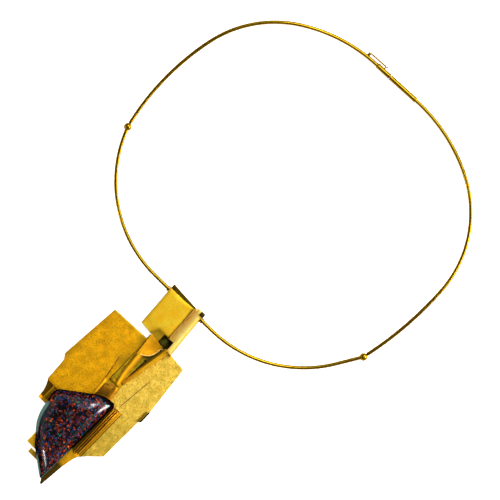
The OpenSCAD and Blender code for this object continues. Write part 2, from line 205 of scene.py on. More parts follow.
def gold(name, light, deep, roughness, grain=0.4, depth=0.006, blotch=2.5, specks=None, dark=None,
         edge_tint=(1, 1, 1)):
    """Gold with a drift of colour and a grain, both in millimetres. Specks are (colour, share,
    size), and dark is the colour it takes where the piece's own attribute says so."""
    material, add, place = new_material(name)
    drift = stretched(add, cloud(add, place, blotch, 3.0), 0.36, 0.64)
    colour = blend(add, drift, (*deep, 1), (*light, 1))
    if specks:
        speck_colour, share, size = specks
        cover = stretched(add, cloud(add, place, size, 1.5), 0.5, 0.66, To_Max=share)
        colour = blend(add, cover, colour, (*speck_colour, 1))
    if dark:
        colour = blend(add, marked(add, "dark"), colour, (*dark, 1))
    grains = cloud(add, place, grain, 2.0, 0.7)
    gloss = stretched(add, grains, 0.3, 0.7, To_Min=roughness * 0.85, To_Max=roughness * 1.15)
    bump = add("ShaderNodeBump", Height=grains, Strength=1.0, Distance=depth * MM)
    shader = add("ShaderNodeBsdfPrincipled", Base_Color=colour, Metallic=1.0, Roughness=gloss,
                 Specular_Tint=(*edge_tint, 1), Normal=bump.outputs["Normal"])
    add("ShaderNodeOutputMaterial", Surface=shader.outputs["BSDF"])
    return material


POLISHED = gold("polished_gold", (0.33, 0.185, 0.006), (0.26, 0.14, 0.004), 0.2, grain=0.5,
                depth=0.002, blotch=12, edge_tint=(0.28, 0.17, 0.02))


def new_object(name, mesh):
    made = bpy.data.objects.new(name, mesh)
    scene.collection.objects.link(made)
    return made


def finished(piece, sharp_above=38):
    """Applies a piece's modifiers, smooths it between sharp edges and leaves a plain mesh"""
    bpy.context.view_layer.update()
    built = piece.evaluated_get(bpy.context.evaluated_depsgraph_get())
    mesh = bpy.data.meshes.new_from_object(built)
    name = piece.name
    bpy.data.objects.remove(piece)
    mesh.shade_smooth()
    mesh.set_sharp_from_angle(angle=math.radians(sharp_above))
    return new_object(name, mesh)


def node_group(name, made, **sockets):
    """Geometry Nodes group with named inputs and one output, and what adds its nodes"""
    tree = bpy.data.node_groups.new(name, "GeometryNodeTree")
    for socket, kind in sockets.items():
        tree.interface.new_socket(socket.replace("_", " "), in_out="INPUT",
                                  socket_type="NodeSocket" + kind)
    tree.interface.new_socket(made, in_out="OUTPUT", socket_type="NodeSocketGeometry")
    add = graph(tree)
    return tree, add, add("NodeGroupInput").outputs


def end_group(add, geometry, metal):
    """Ends a group: makes its instances real and gives them their metal"""
    real = add("GeometryNodeRealizeInstances", Geometry=geometry)
    dressed = add("GeometryNodeSetMaterial", Geometry=real.outputs["Geometry"], Material=metal)
    add("NodeGroupOutput", _0=dressed.outputs["Geometry"])


def round_wire_tree():
    """Geometry Nodes: sweeps a round section with filled ends along the edges it is given"""
    tree, add, given = node_group("round_wire", "Wire", Path="Geometry", Wire_Radius="Float",
                                  Sides="Int", Metal="Material")
    line = add("GeometryNodeMeshToCurve", Mesh=given["Path"])
    section = add("GeometryNodeCurvePrimitiveCircle", Resolution=given["Sides"],
                  Radius=given["Wire Radius"])
    swept = add("GeometryNodeCurveToMesh", Curve=line.outputs["Curve"],
                Profile_Curve=section.outputs["Curve"], Fill_Caps=True)
    end_group(add, swept.outputs["Mesh"], given["Metal"])
    return tree


ROUND_WIRE = round_wire_tree()


def run_nodes(piece, group, **values):
    """Puts a group on a piece and sets its inputs by the identifiers of its named sockets"""
    modifier = piece.modifiers.new(group.name, "NODES")
    modifier.node_group = group
    for item in group.interface.items_tree:
        key = item.name.replace(" ", "_")
        if item.in_out == "INPUT" and key in values:
            modifier[item.identifier] = values[key]


def swept_wire(name, path, radius, material, sides=32):
    """Round wire along points that are already in metres"""
    mesh = bpy.data.meshes.new(name)
    mesh.from_pydata(path, [(i, i + 1) for i in range(len(path) - 1)], [])
    piece = new_object(name, mesh)
    run_nodes(piece, ROUND_WIRE, Wire_Radius=radius * MM, Sides=sides, Metal=material)
    return finished(piece, sharp_above=50)


def placed(place, x, y, z=0.0):
    """A point in millimetres of a place, in the frame's metres"""
    return (place @ Vector((x, y, z))) * MM


def heading(degrees):
    return cmath.rect(1, math.radians(degrees))


def bent(rows, start=0j, aim=0.0, step=BEND_STEP):
    """Points and headings along a wire that starts at a complex point and is bent by a table"""
    points = [(start, aim)]
    for row in rows:
        if row[STRAIGHT]:
            start += row[STRAIGHT] * heading(aim)
            points.append((start, aim))
        steps = math.ceil(row[TURN] / step)
        centre = start + row[RADIUS] * 1j * heading(aim)
        for k in range(1, steps + 1):
            now = aim + row[TURN] * k / steps
            points.append((centre - row[RADIUS] * 1j * heading(now), now))
        start, aim = points[-1]
    return points


def station(plane, point, aim):
    """Place on the ring with +X along the wire"""
    return (plane @ Matrix.Translation((point.real, point.imag, 0))
            @ Matrix.Rotation(math.radians(aim), 4, "Z"))


def bow(a, corner, b, steps):
    """Points on the curve that rounds a corner between two points"""
    return [(1 - u) ** 2 * a + 2 * u * (1 - u) * corner + u ** 2 * b
            for u in (k / steps for k in range(steps + 1))]


def eased(corners, radius, closed=True, steps=4):
    """Rounds the corners of a run of points"""
    points = []
    for i, corner in enumerate(corners):
        p = Vector(corner)
        if not closed and i in (0, len(corners) - 1):
            points.append(p)
            continue
        before, after = Vector(corners[i - 1]) - p, Vector(corners[(i + 1) % len(corners)]) - p
        reach = min(radius, 0.45 * before.length, 0.45 * after.length)
        points += bow(p + reach * before.normalized(), p, p + reach * after.normalized(), steps)
    return points


def mesh_of(name, bm, *materials):
    """Turns a bmesh into a mesh with its materials"""
    mesh = bpy.data.meshes.new(name)
    bm.to_mesh(mesh)
    bm.free()
    for material in materials:
        mesh.materials.append(material)
    return mesh


def turned(name, profile, place, material, closed=False, sweep=360):
    """Turns a profile of (distance along, radius) round the place's X axis, where open ones end"""
    bm = bmesh.new()
    verts = [bm.verts.new((along, radius, 0)) for along, radius in profile]
    edges = [bm.edges.new(pair) for pair in zip(verts, verts[1:] + (verts[:1] if closed else []))]
    bmesh.ops.spin(bm, geom=verts + edges, cent=(0, 0, 0), axis=(1, 0, 0),
                   angle=math.radians(sweep), steps=TURNED_SIDES)
    bmesh.ops.remove_doubles(bm, verts=bm.verts[:], dist=1e-4)
    open_edges = [edge for edge in bm.edges if edge.is_boundary]
    if open_edges:
        bmesh.ops.holes_fill(bm, edges=open_edges)
    bm.transform(Matrix.Scale(MM, 4) @ place)
    bmesh.ops.recalc_face_normals(bm, faces=bm.faces[:])
    return finished(new_object(name, mesh_of(name, bm, material)))


def skin(rows, closed=False, keep=None, layers=()):
    """Bmesh of cells between rows of points, with layers of values; keep says which cells exist"""
    bm = bmesh.new()
    for layer in layers:
        bm.verts.layers.float.new(layer)
    grid = [[bm.verts.new(p) for p in row] for row in rows]
    for i, (row, after) in enumerate(zip(grid, grid[1:])):
        for j in range(len(row) if closed else len(row) - 1):
            if keep is None or keep(i, j):
                k = (j + 1) % len(row)
                bm.faces.new((row[j], row[k], after[k], after[j]))
    return bm, grid


def lofted(name, sections, place, material):
    """Closed skin through loops of points in millimetres, with flat ends"""
    bm, loops = skin([[placed(place, *p) for p in loop] for loop in sections], closed=True)
    bm.faces.new(loops[0])
    bm.faces.new(loops[-1])
    bmesh.ops.recalc_face_normals(bm, faces=bm.faces[:])
    return finished(new_object(name, mesh_of(name, bm, material)))


def stands_for(piece, body, node):
    """Lets a finished piece ride on a body and stand for a CAD node"""
    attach(piece, body)
    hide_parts(node)


def joined(name, pieces, body, node):
    """Makes finished pieces one mesh that rides on a body and stands for a CAD node"""
    bm = bmesh.new()
    materials = []
    bm.verts.layers.float.new("dark")
    for piece in pieces:
        first = len(bm.faces)
        bm.from_mesh(piece.data)
        bm.faces.ensure_lookup_table()
        own = list(piece.data.materials)
        materials += [m for m in own if m not in materials]
        for face in bm.faces[first:]:
            face.material_index = materials.index(own[face.material_index])
        bpy.data.objects.remove(piece)
    stands_for(new_object(name, mesh_of(name, bm, *materials)), body, node)


def washer(name, place, start, end, bore, radius, ease, material=POLISHED):
    """Ring with a bore, between two distances along the place's X axis"""
    profile = eased([(start, bore), (start, radius), (end, radius), (end, bore)], ease)
    return turned(name, profile, place, material, closed=True)


def ball_arc(low, high):
    """Points on the ball's outside between two heights, as (height, radius)"""
    a, b = math.asin(low / BALL_R), math.asin(high / BALL_R)
    angles = [a + (b - a) * k / BALL_STEPS for k in range(BALL_STEPS + 1)]
    return [(BALL_R * math.sin(t), BALL_R * math.cos(t)) for t in angles]


def slotted_ball(name, place):
    """Ball with a slot for the knuckle: two caps and the web that joins them behind the slot"""
    cap = [(SLOT_HALF, PIN_R)] + ball_arc(SLOT_HALF + 0.04, PIN_HEAD)
    cap.insert(1, (SLOT_HALF, cap[1][1] - 0.05))
    edge = SLOT_HALF + 0.01
    parts = (("_cap", cap, 360), ("_foot", [(-z, r) for z, r in cap], 360),
             ("_web", [(-edge, SLOT_R), *ball_arc(-edge, edge), (edge, SLOT_R)], 180))
    return [turned(name + part, profile, place @ UPRIGHT, POLISHED, closed=True, sweep=sweep)
            for part, profile, sweep in parts]


def hinge_pin(name, place, node):
    """Polished pin through the ball, riveted flush at both ends"""
    rivet = [(PIN_HEAD + 0.03, 0), (PIN_HEAD + 0.02, 0.15), (PIN_HEAD - 0.02, 0.28),
             (PIN_HEAD - 0.08, PIN_R)]
    pin = turned(name, [(-z, r) for z, r in rivet] + rivet[::-1], place @ UPRIGHT, POLISHED)
    stands_for(pin, "front", node)


right_front, left_front = bent(RIGHT_FRONT), bent(LEFT_FRONT)
right_ball, left_ball = station(RING_PLANE, *right_front[-1]), station(MIRRORED, *left_front[-1])
front_path = [placed(MIRRORED, p.real, p.imag) for p, _ in reversed(left_front)]
front_path += [placed(RING_PLANE, p.real, p.imag) for p, _ in right_front[1:]]
collar_left, collar_right = TUBE_ENDS[0] - COLLAR_GAP, TUBE_ENDS[1] + COLLAR_GAP
joined("neck_wire_front", [
    swept_wire("wire", front_path, WIRE_R, POLISHED),
    washer("collar_left", RING_PLANE, collar_left - COLLAR_L, collar_left, *COLLAR),
    washer("collar_right", RING_PLANE, collar_right, collar_right + COLLAR_L, *COLLAR),
    *slotted_ball("ball_right", right_ball),
    *slotted_ball("ball_left", left_ball)], "front", "front_wire")
hinge_pin("hinge_pin_right", right_ball, "right_hinge_pin")
hinge_pin("hinge_pin_left", left_ball, "left_hinge_pin")

# Rear arcs of the ring. Each is bent from the same wire, with a flat knuckle in its ball at one
# end. The right one ends in a long ferrule with a tongue, which slides into the sleeve that is
# soldered on the left one.
RIGHT_REAR = [(0.4, 143, 15), (0, 46, 59), (0, 67, 30.5), (14, 0, 0)]
LEFT_REAR = [(0.4, 103, 24.5), (0, 46.5, 46), (0, 64.5, 30)]
RIGHT_HEADING = 77.5
NECK_L = 1.8
KNUCKLE_HALF = 0.5
KNUCKLE_R = 1.0
KNUCKLE_BORE = 0.4
FERRULE_L = 13.5
SLEEVE_L = 7.0
TUBE_R = 1.0
TUBE_END_R = 0.93
BEAD_R = 1.1
TUBE_EASE = 0.06
BORE_R = 0.725
TONGUE_R = 0.45
TONGUE_L = 5.0
CLASP_GAP = 0.2
LAP = 1.3

ball_right, ball_left = right_front[-1][0], left_front[-1][0]
right_rear = bent(RIGHT_REAR, ball_right + NECK_L * heading(RIGHT_HEADING), RIGHT_HEADING)
seam = right_rear[-1][0]
# The left arc is drawn mirrored. Its last straight and its heading bring its end to the seam.
left_reach = complex(-seam.real, seam.imag) - ball_left
left_bent, left_aim = bent(LEFT_REAR, NECK_L + 0j)[-1]
along = (left_bent * heading(-left_aim)).real
left_run = math.sqrt(along ** 2 - abs(left_bent) ** 2 + abs(left_reach) ** 2) - along
left_heading = math.degrees(cmath.phase(left_reach / (left_bent + left_run * heading(left_aim))))
left_start = ball_left + NECK_L * heading(left_heading)
left_rear = bent(LEFT_REAR + [(left_run, 0, 0)], left_start, left_heading)


def arc_wire(name, plane, points, inside):
    """Wire of a rear arc, which stops a little way inside its tube"""
    points = points[:-1] + [(points[-1][0] - inside * heading(points[-1][1]), 0)]
    return swept_wire(name, [placed(plane, p.real, p.imag) for p, _ in points], WIRE_R, POLISHED)


def knuckle(name, plane, ball, aim):
    """Flat eye round the hinge pin, with a neck that grows into the round wire"""
    place = station(plane, ball, aim)
    loops = []
    for x, half, squareness in ((KNUCKLE_R - 0.2, 0.5, 0.35), (NECK_L - 0.15, 0.5, 0.35),
                                (NECK_L + 0.35, 0.7, 1.0)):
        turns = [2 * math.pi * (k + 0.5) / 32 for k in range(32)]
        loops.append([(x, *(half * math.copysign(abs(side) ** squareness, side)
                            for side in (math.cos(t), math.sin(t)))) for t in turns])
    return [washer(name + "_eye", place @ UPRIGHT, -KNUCKLE_HALF, KNUCKLE_HALF, KNUCKLE_BORE,
                   KNUCKLE_R, 0.08),
            lofted(name + "_neck", loops, place, POLISHED)]


def clasp_tube(length, mouth):
    """Outside of a tube of the clasp, from its closed end to its mouth, with a bead at both"""
    return [(-length, 0), (-length, TUBE_END_R), (-length + 0.5, BEAD_R), (-length + 0.9, BEAD_R),
            (-length + 1, TUBE_R), (mouth - 0.75, TUBE_R), (mouth - 0.65, BEAD_R)]


right_seam = station(RING_PLANE, *right_rear[-1])
tongue = [(-0.02, BEAD_R), (-0.02, TONGUE_R), (TONGUE_L - 0.1, TONGUE_R), (TONGUE_L, 0.3),
          (TONGUE_L, 0)]
ferrule = eased(clasp_tube(FERRULE_L, 0) + tongue, TUBE_EASE, closed=False)
joined("neck_wire_right", [
    arc_wire("wire", RING_PLANE, right_rear, FERRULE_L - LAP),
    *knuckle("knuckle_right", RING_PLANE, ball_right, RIGHT_HEADING),
    turned("ferrule", ferrule, right_seam, POLISHED)], "right_arc", "right_arc")

# Catch. A short bent wire turns on a small post soldered beside the left arc's end, lies along
# the sleeve and drops into a hole in it. Its tip stands out as a nib for the fingernail.
CATCH_BACK = 12.1
CATCH_OUT = 1.4
CATCH_HEADING = -30
CATCH = [(0.5, 1, 29), (6.8, 0.45, 91), (0.6, 0, 0)]
CATCH_R = 0.32
CATCH_START = 0.4
NIB_FROM = complex(-0.15, -0.85)
NIB_L = 1.1
NIB_THIN = 0.8
EYE_R = 0.55
EYE_HALF = 0.25
POST_R = 0.25
RUNNING = 0.05
CATCH_GOLD = gold("catch_gold", (0.36, 0.17, 0.008), (0.28, 0.12, 0.006), 0.45, depth=0.003,
                  blotch=5, edge_tint=(0.3, 0.15, 0.03))

mouth = station(MIRRORED, *left_rear[-1])
catch_root = complex(-CATCH_BACK, -CATCH_OUT)
post = mouth @ Matrix.Translation((-CATCH_BACK, -CATCH_OUT, 0))
socket_end = -TONGUE_L - 0.5
sleeve = eased(clasp_tube(SLEEVE_L, -CLASP_GAP) + [(-CLASP_GAP, BEAD_R), (-CLASP_GAP, BORE_R),
                                                   (socket_end, BORE_R), (socket_end, 0)],
               TUBE_EASE, closed=False)
foot_top = -EYE_HALF - RUNNING
foot_outline = eased([(-EYE_R, -EYE_R), (EYE_R, -EYE_R), (EYE_R, CATCH_OUT), (-EYE_R, CATCH_OUT)],
                     0.25)
foot = lofted("post_foot", [[(x * k, y * k, foot_top - drop) for x, y in foot_outline]
                            for drop, k in ((0.4, 0.94), (0.35, 1), (0.05, 1), (0, 0.94))],
              post, CATCH_GOLD)
rivet_r = POST_R + 0.15
pillar = turned("post_pillar", [
    (foot_top - 0.1, 0), (foot_top - 0.1, POST_R), (-foot_top, POST_R), (-foot_top + 0.01, rivet_r),
    (-foot_top + 0.12, rivet_r), (-foot_top + 0.2, POST_R), (-foot_top + 0.2, 0)],
    post @ UPRIGHT, CATCH_GOLD)
joined("neck_wire_left", [
    arc_wire("wire", MIRRORED, left_rear, SLEEVE_L - LAP),
    *knuckle("knuckle_left", MIRRORED, ball_left, left_heading),
    turned("sleeve", sleeve, mouth, POLISHED), foot, pillar], "left_arc", "left_arc")

catch_path = bent(CATCH, catch_root, CATCH_HEADING, 6)
catch_path[0] = (catch_root + CATCH_START * heading(CATCH_HEADING), CATCH_HEADING)
catch_end = catch_path[-1][0]
nib_start = catch_end + NIB_FROM
nib_path = (nib_start, nib_start + NIB_L * heading(CATCH_HEADING))
joined("catch", [
    swept_wire("catch_bar", [placed(mouth, p.real, p.imag) for p, _ in catch_path], CATCH_R,
               CATCH_GOLD, 20),
    swept_wire("catch_nib", [placed(mouth, p.real, p.imag) for p in nib_path],
               CATCH_R * NIB_THIN, CATCH_GOLD, 20),
    washer("catch_ring", post @ UPRIGHT, -EYE_HALF, EYE_HALF, POST_R + RUNNING, EYE_R, 0.07,
           CATCH_GOLD)], "catch", "catch_wire")

# Bail. The top of the pendant is one strip of sheet gold folded over the ring wire: a broad
# panel in front, a steep face behind it, and the leaf that the pendant lies on. Its foot is bent
# down a little beside the dark mouth of the fold.
BAIL = Matrix.Translation((BAIL_AT.x, BAIL_AT.y, 0))
SHEET = 0.8
PANEL_FOLD_R = 0.55
PANEL_FOLD_STEPS = 5
PANEL_LEFT = [(-7.46, -14.0, 5.22), (-8.3, 0.6, 6.6), (-8.3, 2.8, 0.2)]
PANEL_RIGHT = [(4.75, -13.8, 5.25), (3.95, 1.4, 6.6), (3.85, 1.8, 0.2)]
PANEL_ROWS = (0, 0.02, 0.05, 0.12, 0.24, 0.36, 0.48, 0.6, 0.7, 0.8, 0.88, 0.94, 0.975)
PANEL_COLUMNS = (0, 0.03, 0.1, 0.2, 0.3, 0.37, 0.43, 0.49, 0.55, 0.61, 0.67, 0.72, 0.77, 0.82, 0.86,
                 0.89, 0.92, 0.95, 0.975, 0.99, 1)
MOUTH_COLUMN = 13
PANEL_FOOT = ((-7.3, -16.8, 4.95), (2.6, -17.8, 4.75))
SATIN = gold("satin_gold", (1.0, 0.66, 0.036), (1.0, 0.55, 0.016), 0.58, grain=0.35, depth=0.008,
             blotch=4, specks=((0.62, 0.34, 0.012), 0.3, 0.6), dark=(0.16, 0.075, 0.004))
# Near-black gold painted as shade, on faces and in openings that lie in shadow.
DARK_GOLD = gold("shaded_gold", (0.085, 0.068, 0.010), (0.035, 0.028, 0.004), 0.5, grain=0.5,
                 depth=0.01, blotch=1.2, specks=((0.16, 0.12, 0.012), 0.6, 0.6),
                 dark=(0.02, 0.022, 0.002), edge_tint=(0.35, 0.28, 0.08))


def sheet_metal(name, bm, material, thickness, edge, outer=(0, 0, 1)):
    """Gives an open skin its thickness away from the outer side and breaks its edges"""
    bm.normal_update()
    if sum((f.normal * f.calc_area() for f in bm.faces), Vector()).dot(outer) < 0:
        bmesh.ops.reverse_faces(bm, faces=bm.faces[:])
    piece = new_object(name, mesh_of(name, bm, material))
    wall = piece.modifiers.new("wall", "SOLIDIFY")
    wall.thickness, wall.offset, wall.use_even_offset = thickness * MM, -1, True
    edges = piece.modifiers.new("edges", "BEVEL")
    edges.width, edges.segments, edges.angle_limit = edge * MM, 2, math.radians(50)
    return finished(piece)


def formed_sheet(name, rows, material, thickness=SHEET, edge=0.09, keep=None, outer=(0, 0, 1)):
    """Sheet through a grid of points; keep says which of its cells exist"""
    bm, _ = skin([[placed(BAIL, *p) for p in row] for row in rows], keep=keep)
    bmesh.ops.delete(bm, geom=[v for v in bm.verts if not v.link_faces], context="VERTS")
    bmesh.ops.remove_doubles(bm, verts=bm.verts[:], dist=1e-7)
    return sheet_metal(name, bm, material, thickness, edge, outer)


def mix(a, b, share):
    return tuple(p + (q - p) * share for p, q in zip(a, b))


def smooth(low, high, value):
    """0 at low, 1 at high, and an even rise between"""
    t = min(1.0, max(0.0, (value - low) / (high - low)))
    return t * t * (3 - 2 * t)


def folded(run):
    """Side of the panel from its foot over the fold and down the steep face"""
    foot, fold, back = map(Vector, run)
    a, b = (fold + PANEL_FOLD_R * (end - fold).normalized() for end in (foot, back))
    points = [tuple(foot.lerp(a, share / PANEL_ROWS[-1])) for share in PANEL_ROWS[:-1]]
    points += map(tuple, bow(a, fold, b, PANEL_FOLD_STEPS))
    return points + [tuple(b.lerp(back, share)) for share in (0.3, 0.65, 1)]


def on_pendant(point):
    """Where a point of a piece lies from the bail, in millimetres"""
    x, y, z = point / MM
    return x - BAIL_AT.x, y - BAIL_AT.y, z


def refinish(piece, material, rule):
    """Gives another finish to the faces for which the rule, on middle and normal, holds"""
    piece.data.materials.append(material)
    for face in piece.data.polygons:
        if rule(*on_pendant(face.center), face.normal):
            face.material_index = len(piece.data.materials) - 1


def shade(piece, rule):
    """Writes how dark the metal is at each point, from 0 to 1, as painted shade and reflection or
    as the metal's own tone
    """
    layer = piece.data.attributes.new("dark", "FLOAT", "POINT")
    layer.data.foreach_set("value", [min(1.0, max(0.0, rule(*on_pendant(vert.co))))
                                     for vert in piece.data.vertices])


def past_mouth(x, y):
    """How far a point lies to the right of the mouth's slanting edge"""
    return x - (y + 15.2) * 0.583


def panel_form(x, y, z):
    """Soft crown of the panel, and the bend of its foot beside the mouth"""
    bend = min(smooth(-1.9, -0.5, past_mouth(x, y)) * 2, smooth(13.3, 14.8, -y) * 2)
    crown = 0.12 * math.cos((x + 1.8) / 6.2 * 1.5) * smooth(-17, -12, y)
    return x, y, z + crown - 0.3 * bend


def fold_line(x):
    """Where along the bail the panel is folded"""
    (x0, y0, _), (x1, y1, _) = PANEL_LEFT[1], PANEL_RIGHT[1]
    return y0 + (y1 - y0) * (x - x0) / (x1 - x0)


left_side, right_side = folded(PANEL_LEFT), folded(PANEL_RIGHT)
panel_rows = []
mouth_at = PANEL_COLUMNS[MOUTH_COLUMN]
for share in (1, 0.86, 0.72, 0.58, 0.44, 0.3, 0.15):
    left = mix(PANEL_LEFT[0], PANEL_FOOT[0], share)
    right = mix(mix(PANEL_LEFT[0], PANEL_RIGHT[0], mouth_at), PANEL_FOOT[1], share)
    row = [mix(left, right, min(1, f / mouth_at)) for f in PANEL_COLUMNS]
    panel_rows.append([panel_form(*p) for p in row])
foot_rows = len(panel_rows)
face_rows = len(PANEL_ROWS) - 1
for i, (left, right) in enumerate(zip(left_side, right_side)):
    row = [mix(left, right, f) for f in PANEL_COLUMNS]
    if i < face_rows:
        fade = min(1, (face_rows - i) / 3)
        row = [panel_form(x, y, z - 0.6 * fade * smooth(0.88, 1.05, f))
               for (x, y, z), f in zip(row, PANEL_COLUMNS)]
    panel_rows.append(row)
panel = formed_sheet("panel", panel_rows, SATIN, thickness=0.6, outer=(0, 0.4, 1),
                     keep=lambda i, j: i >= foot_rows or j < MOUTH_COLUMN)
# The steep face behind the fold takes the near-black gold as painted shade.
refinish(panel, DARK_GOLD, lambda x, y, z, n: n.y > 0.5 and y > 0.9)
# Painted shade darkens the panel along its right edge by the column, on its bent foot, along its
# left edge and over the fold's highlight.
shade(panel, lambda x, y, z: max(
    smooth(-1.7, -0.2, x - (4.3 - (y - 1.4) * 0.052)),
    min(smooth(-1.9, -1.0, past_mouth(x, y)), smooth(13.3, 13.8, -y)) * 0.5,
    0.4 * smooth(0.7, 0, x + 8.0 + y * 0.055),
    0.45 * smooth(-0.8, -0.2, y - fold_line(x)) * smooth(0.5, 0.2, y - fold_line(x))))


def cut_sheet(name, outline, height, material, holes=(), thickness=SHEET, grid=1.7, edge=0.09):
    """Sheet cut to an outline, with convex holes, and bent to a height over each point"""
    bm = bmesh.new()
    bm.faces.new([bm.verts.new((x, y, 0)) for x, y in outline])

    def slice_at(point, normal, faces):
        geom = {item for face in faces for item in (face, *face.edges, *face.verts)}
        bmesh.ops.bisect_plane(bm, geom=list(geom), plane_co=(*point, 0), plane_no=(*normal, 0),
                               dist=1e-5)

    for axis, normal in enumerate(((1, 0), (0, 1))):
        low, high = min(p[axis] for p in outline), max(p[axis] for p in outline)
        for k in range(1, math.ceil((high - low) / grid)):
            slice_at([(low + k * grid) * n for n in normal], normal, bm.faces[:])
    for hole in holes:
        corners = [Vector(p) for p in hole]
        sides = list(zip(corners, corners[1:] + corners[:1]))
        middle = sum(corners, Vector((0, 0))) / len(corners)
        reach = max((p - middle).length for p in corners) + 0.1 + grid
        for a, b in sides:
            near = [f for f in bm.faces if min((v.co.xy - middle).length for v in f.verts) < reach]
            slice_at(a, (b.y - a.y, a.x - b.x), near)
        gone = []
        for face in bm.faces:
            c = face.calc_center_median().xy
            turns = [(b - a).cross(c - a) for a, b in sides]
            if min(turns) > 0 or max(turns) < 0:
                gone.append(face)
        bmesh.ops.delete(bm, geom=gone, context="FACES")
    for vert in bm.verts:
        x, y, _ = vert.co
        vert.co = placed(BAIL, x, y, height(x, y))
    return sheet_metal(name, bm, material, thickness, edge)


def slit(start, end, width):
    """Outline of a saw cut between two points"""
    a, b = Vector(start), Vector(end)
    side = (b - a).normalized().orthogonal() * width / 2
    return [a - side, b - side, b + side, a + side]


def beside(start, end, x, y):
    """How far a point lies along and to the left of a line"""
    run, p = Vector(end) - Vector(start), Vector((x, y)) - Vector(start)
    return p.dot(run) / run.length, run.cross(p) / run.length


# Dark gold for the walls of saw cuts, painted as the shade inside them.
SLIT_SHADE = gold("sawn_gold", (0.16, 0.05, 0.004), (0.10, 0.03, 0.003), 0.6, grain=0.2, depth=0.004,
            blotch=1)
SAW_LEAN = 0.5
SAW_CUT = 0.45


def lean_cut(piece, start, end, below):
    """Leans a saw cut's walls, as the saw was held, so that from above its wall, painted as shade,
    shows
    """
    run = Vector(end) - Vector(start)
    shift = run.normalized().orthogonal() * SAW_LEAN * MM

    def near(x, y, off, past):
        along_cut, left_of = beside(start, end, x, y)
        return abs(left_of) < off and -past < along_cut < run.length + past

    for vert in piece.data.vertices:
        x, y, z = on_pendant(vert.co)
        if z < below and near(x, y, 0.32, 0.3):
            vert.co.x += shift.x
            vert.co.y += shift.y
    refinish(piece, SLIT_SHADE, lambda x, y, z, n: n.z < 0.4 and near(x, y, 0.6, 0.5))


# Column. A half-round tapered gutter of the same sheet covers the bail's right side. Its foot is
# cut away on the left, where the mouth opens, and a thin upright strip parts it from the panel.
COLUMN_TOP = ((6.45, 2.3, 4.9), 1.95)
COLUMN_FOOT = ((7.55, -18.5, 3.5), 2.55)
COLUMN_STATIONS = (0, 0.1, 0.2, 0.3, 0.4, 0.5, 0.6, 0.7, 0.795, 0.85, 0.9, 0.95, 1)
COLUMN_RISE = 2.1
COLUMN_LEAN = 0.4
COLUMN_SKIRT = (1.0, 2.6)
CUT_ROW = 8
CREST = 12
# Paler gold for the column, the divider and the lobe's rim bead, parts of the same sheet: painted
# highlight.
PALE = gold("pale_gold", (0.98, 0.68, 0.19), (0.95, 0.60, 0.10), 0.55, grain=0.35, blotch=3,
            specks=((0.8, 0.42, 0.03), 0.3, 0.6), dark=(0.5, 0.21, 0.008))

column_rows = []
for share in COLUMN_STATIONS:
    x, y, z = mix(COLUMN_TOP[0], COLUMN_FOOT[0], share)
    half = COLUMN_TOP[1] + (COLUMN_FOOT[1] - COLUMN_TOP[1]) * share
    row = [(x + half, y, COLUMN_SKIRT[0])]
    for k in range(2 * CREST + 1):
        t = math.radians(90 * k / CREST)
        row.append((x + half * math.cos(t), y + COLUMN_LEAN * math.sin(t),
                    z + COLUMN_RISE * math.sin(t)))
    column_rows.append(row + [(x - half, y, COLUMN_SKIRT[1])])
column = formed_sheet("column", column_rows, PALE, thickness=0.5,
                      keep=lambda i, j: i < CUT_ROW or j < CREST + 1)
# Painted shade darkens the column's right side.
shade(column, lambda x, y, z: 0.9 * smooth(7.3, 8.8, x + y * 0.075))
divider = cut_sheet("divider", eased([(4.08, 1.5), (4.34, 1.5), (5.1, -13.6), (4.84, -13.6)], 0.05),
                    lambda x, y: 6.3 + (y - 1.5) * 0.085, PALE, thickness=1.6, edge=0.05)

# Notch. A small square socket of the same sheet is soldered in the head of the column, and its
# inside is painted near-black as shade.
socket = cut_sheet("socket", eased([(6.75, 0.85), (8.75, 0.85), (8.75, 2.75), (6.75, 2.75)], 0.1),
                   lambda x, y: 7.12, DARK_GOLD, thickness=0.9, edge=0.06)

# Mouth of the fold. Two facets of the inner sheet show between the panel's foot, the column's
# cut end and the ribbon. Their near-black colour is painted shade inside the fold.
MOUTH_OUTLINE = [(1.2, -12.6), (7.9, -12.6), (8.0, -17.2), (6.6, -18.3), (1.8, -18.0)]
mouth_plate = cut_sheet("mouth_plate", eased(MOUTH_OUTLINE, 0.2),
                        lambda x, y: 2.9 - 0.35 * abs(x - 4.6) ** 0.9 + 0.12 * (-16 - y), DARK_GOLD,
                        thickness=0.5)
shade(mouth_plate, lambda x, y, z: 0.4)

# Back leaf and ribbon. The leaf steps up under the column's foot and runs on as a narrow ribbon
# towards the stone, with a saw slit that ends in a drilled hole.
BACK_LEAF = [(-8.3, 2.7), (8.4, 1.7), (10, -16.4), (8.4, -18.4), (7.7, -22.5), (6.3, -31),
             (4.7, -39.3), (5.4, -46.8), (4, -48.6), (-1.8, -48.6), (-1.8, -20.2), (-0.9, -19.5),
             (-0.9, -17), (-7.3, -16.6)]
RIBBON_SLIT = ((4.4, -26.6), (4.0, -39.0))
DRILL_R = 0.48
VALLEY = gold("valley_gold", (0.95, 0.55, 0.012), (0.50, 0.28, 0.007), 0.5, depth=0.012, blotch=1.6,
              specks=((0.22, 0.12, 0.006), 0.7, 0.6), dark=(0.10, 0.07, 0.008))
drilled = [(RIBBON_SLIT[0][0] + DRILL_R * math.cos(t), RIBBON_SLIT[0][1] + DRILL_R * math.sin(t))
           for t in (math.pi * k / 5 for k in range(10))]
back_leaf = cut_sheet("back_leaf", BACK_LEAF, lambda x, y: SHEET + 1.7 * smooth(16.6, 18.3, -y),
                      VALLEY, holes=[slit(*RIBBON_SLIT, SAW_CUT), drilled], grid=1.0)
lean_cut(back_leaf, *RIBBON_SLIT, 2.1)
# Painted shade darkens the valley towards the lobe, most under it, and right of the slit.
shade(back_leaf, lambda x, y, z: (
    0.6 * smooth(-39, -29, y) + 0.3 * smooth(-27.5, -24, y) + 0.4 * smooth(3.9, 4.7, x)))

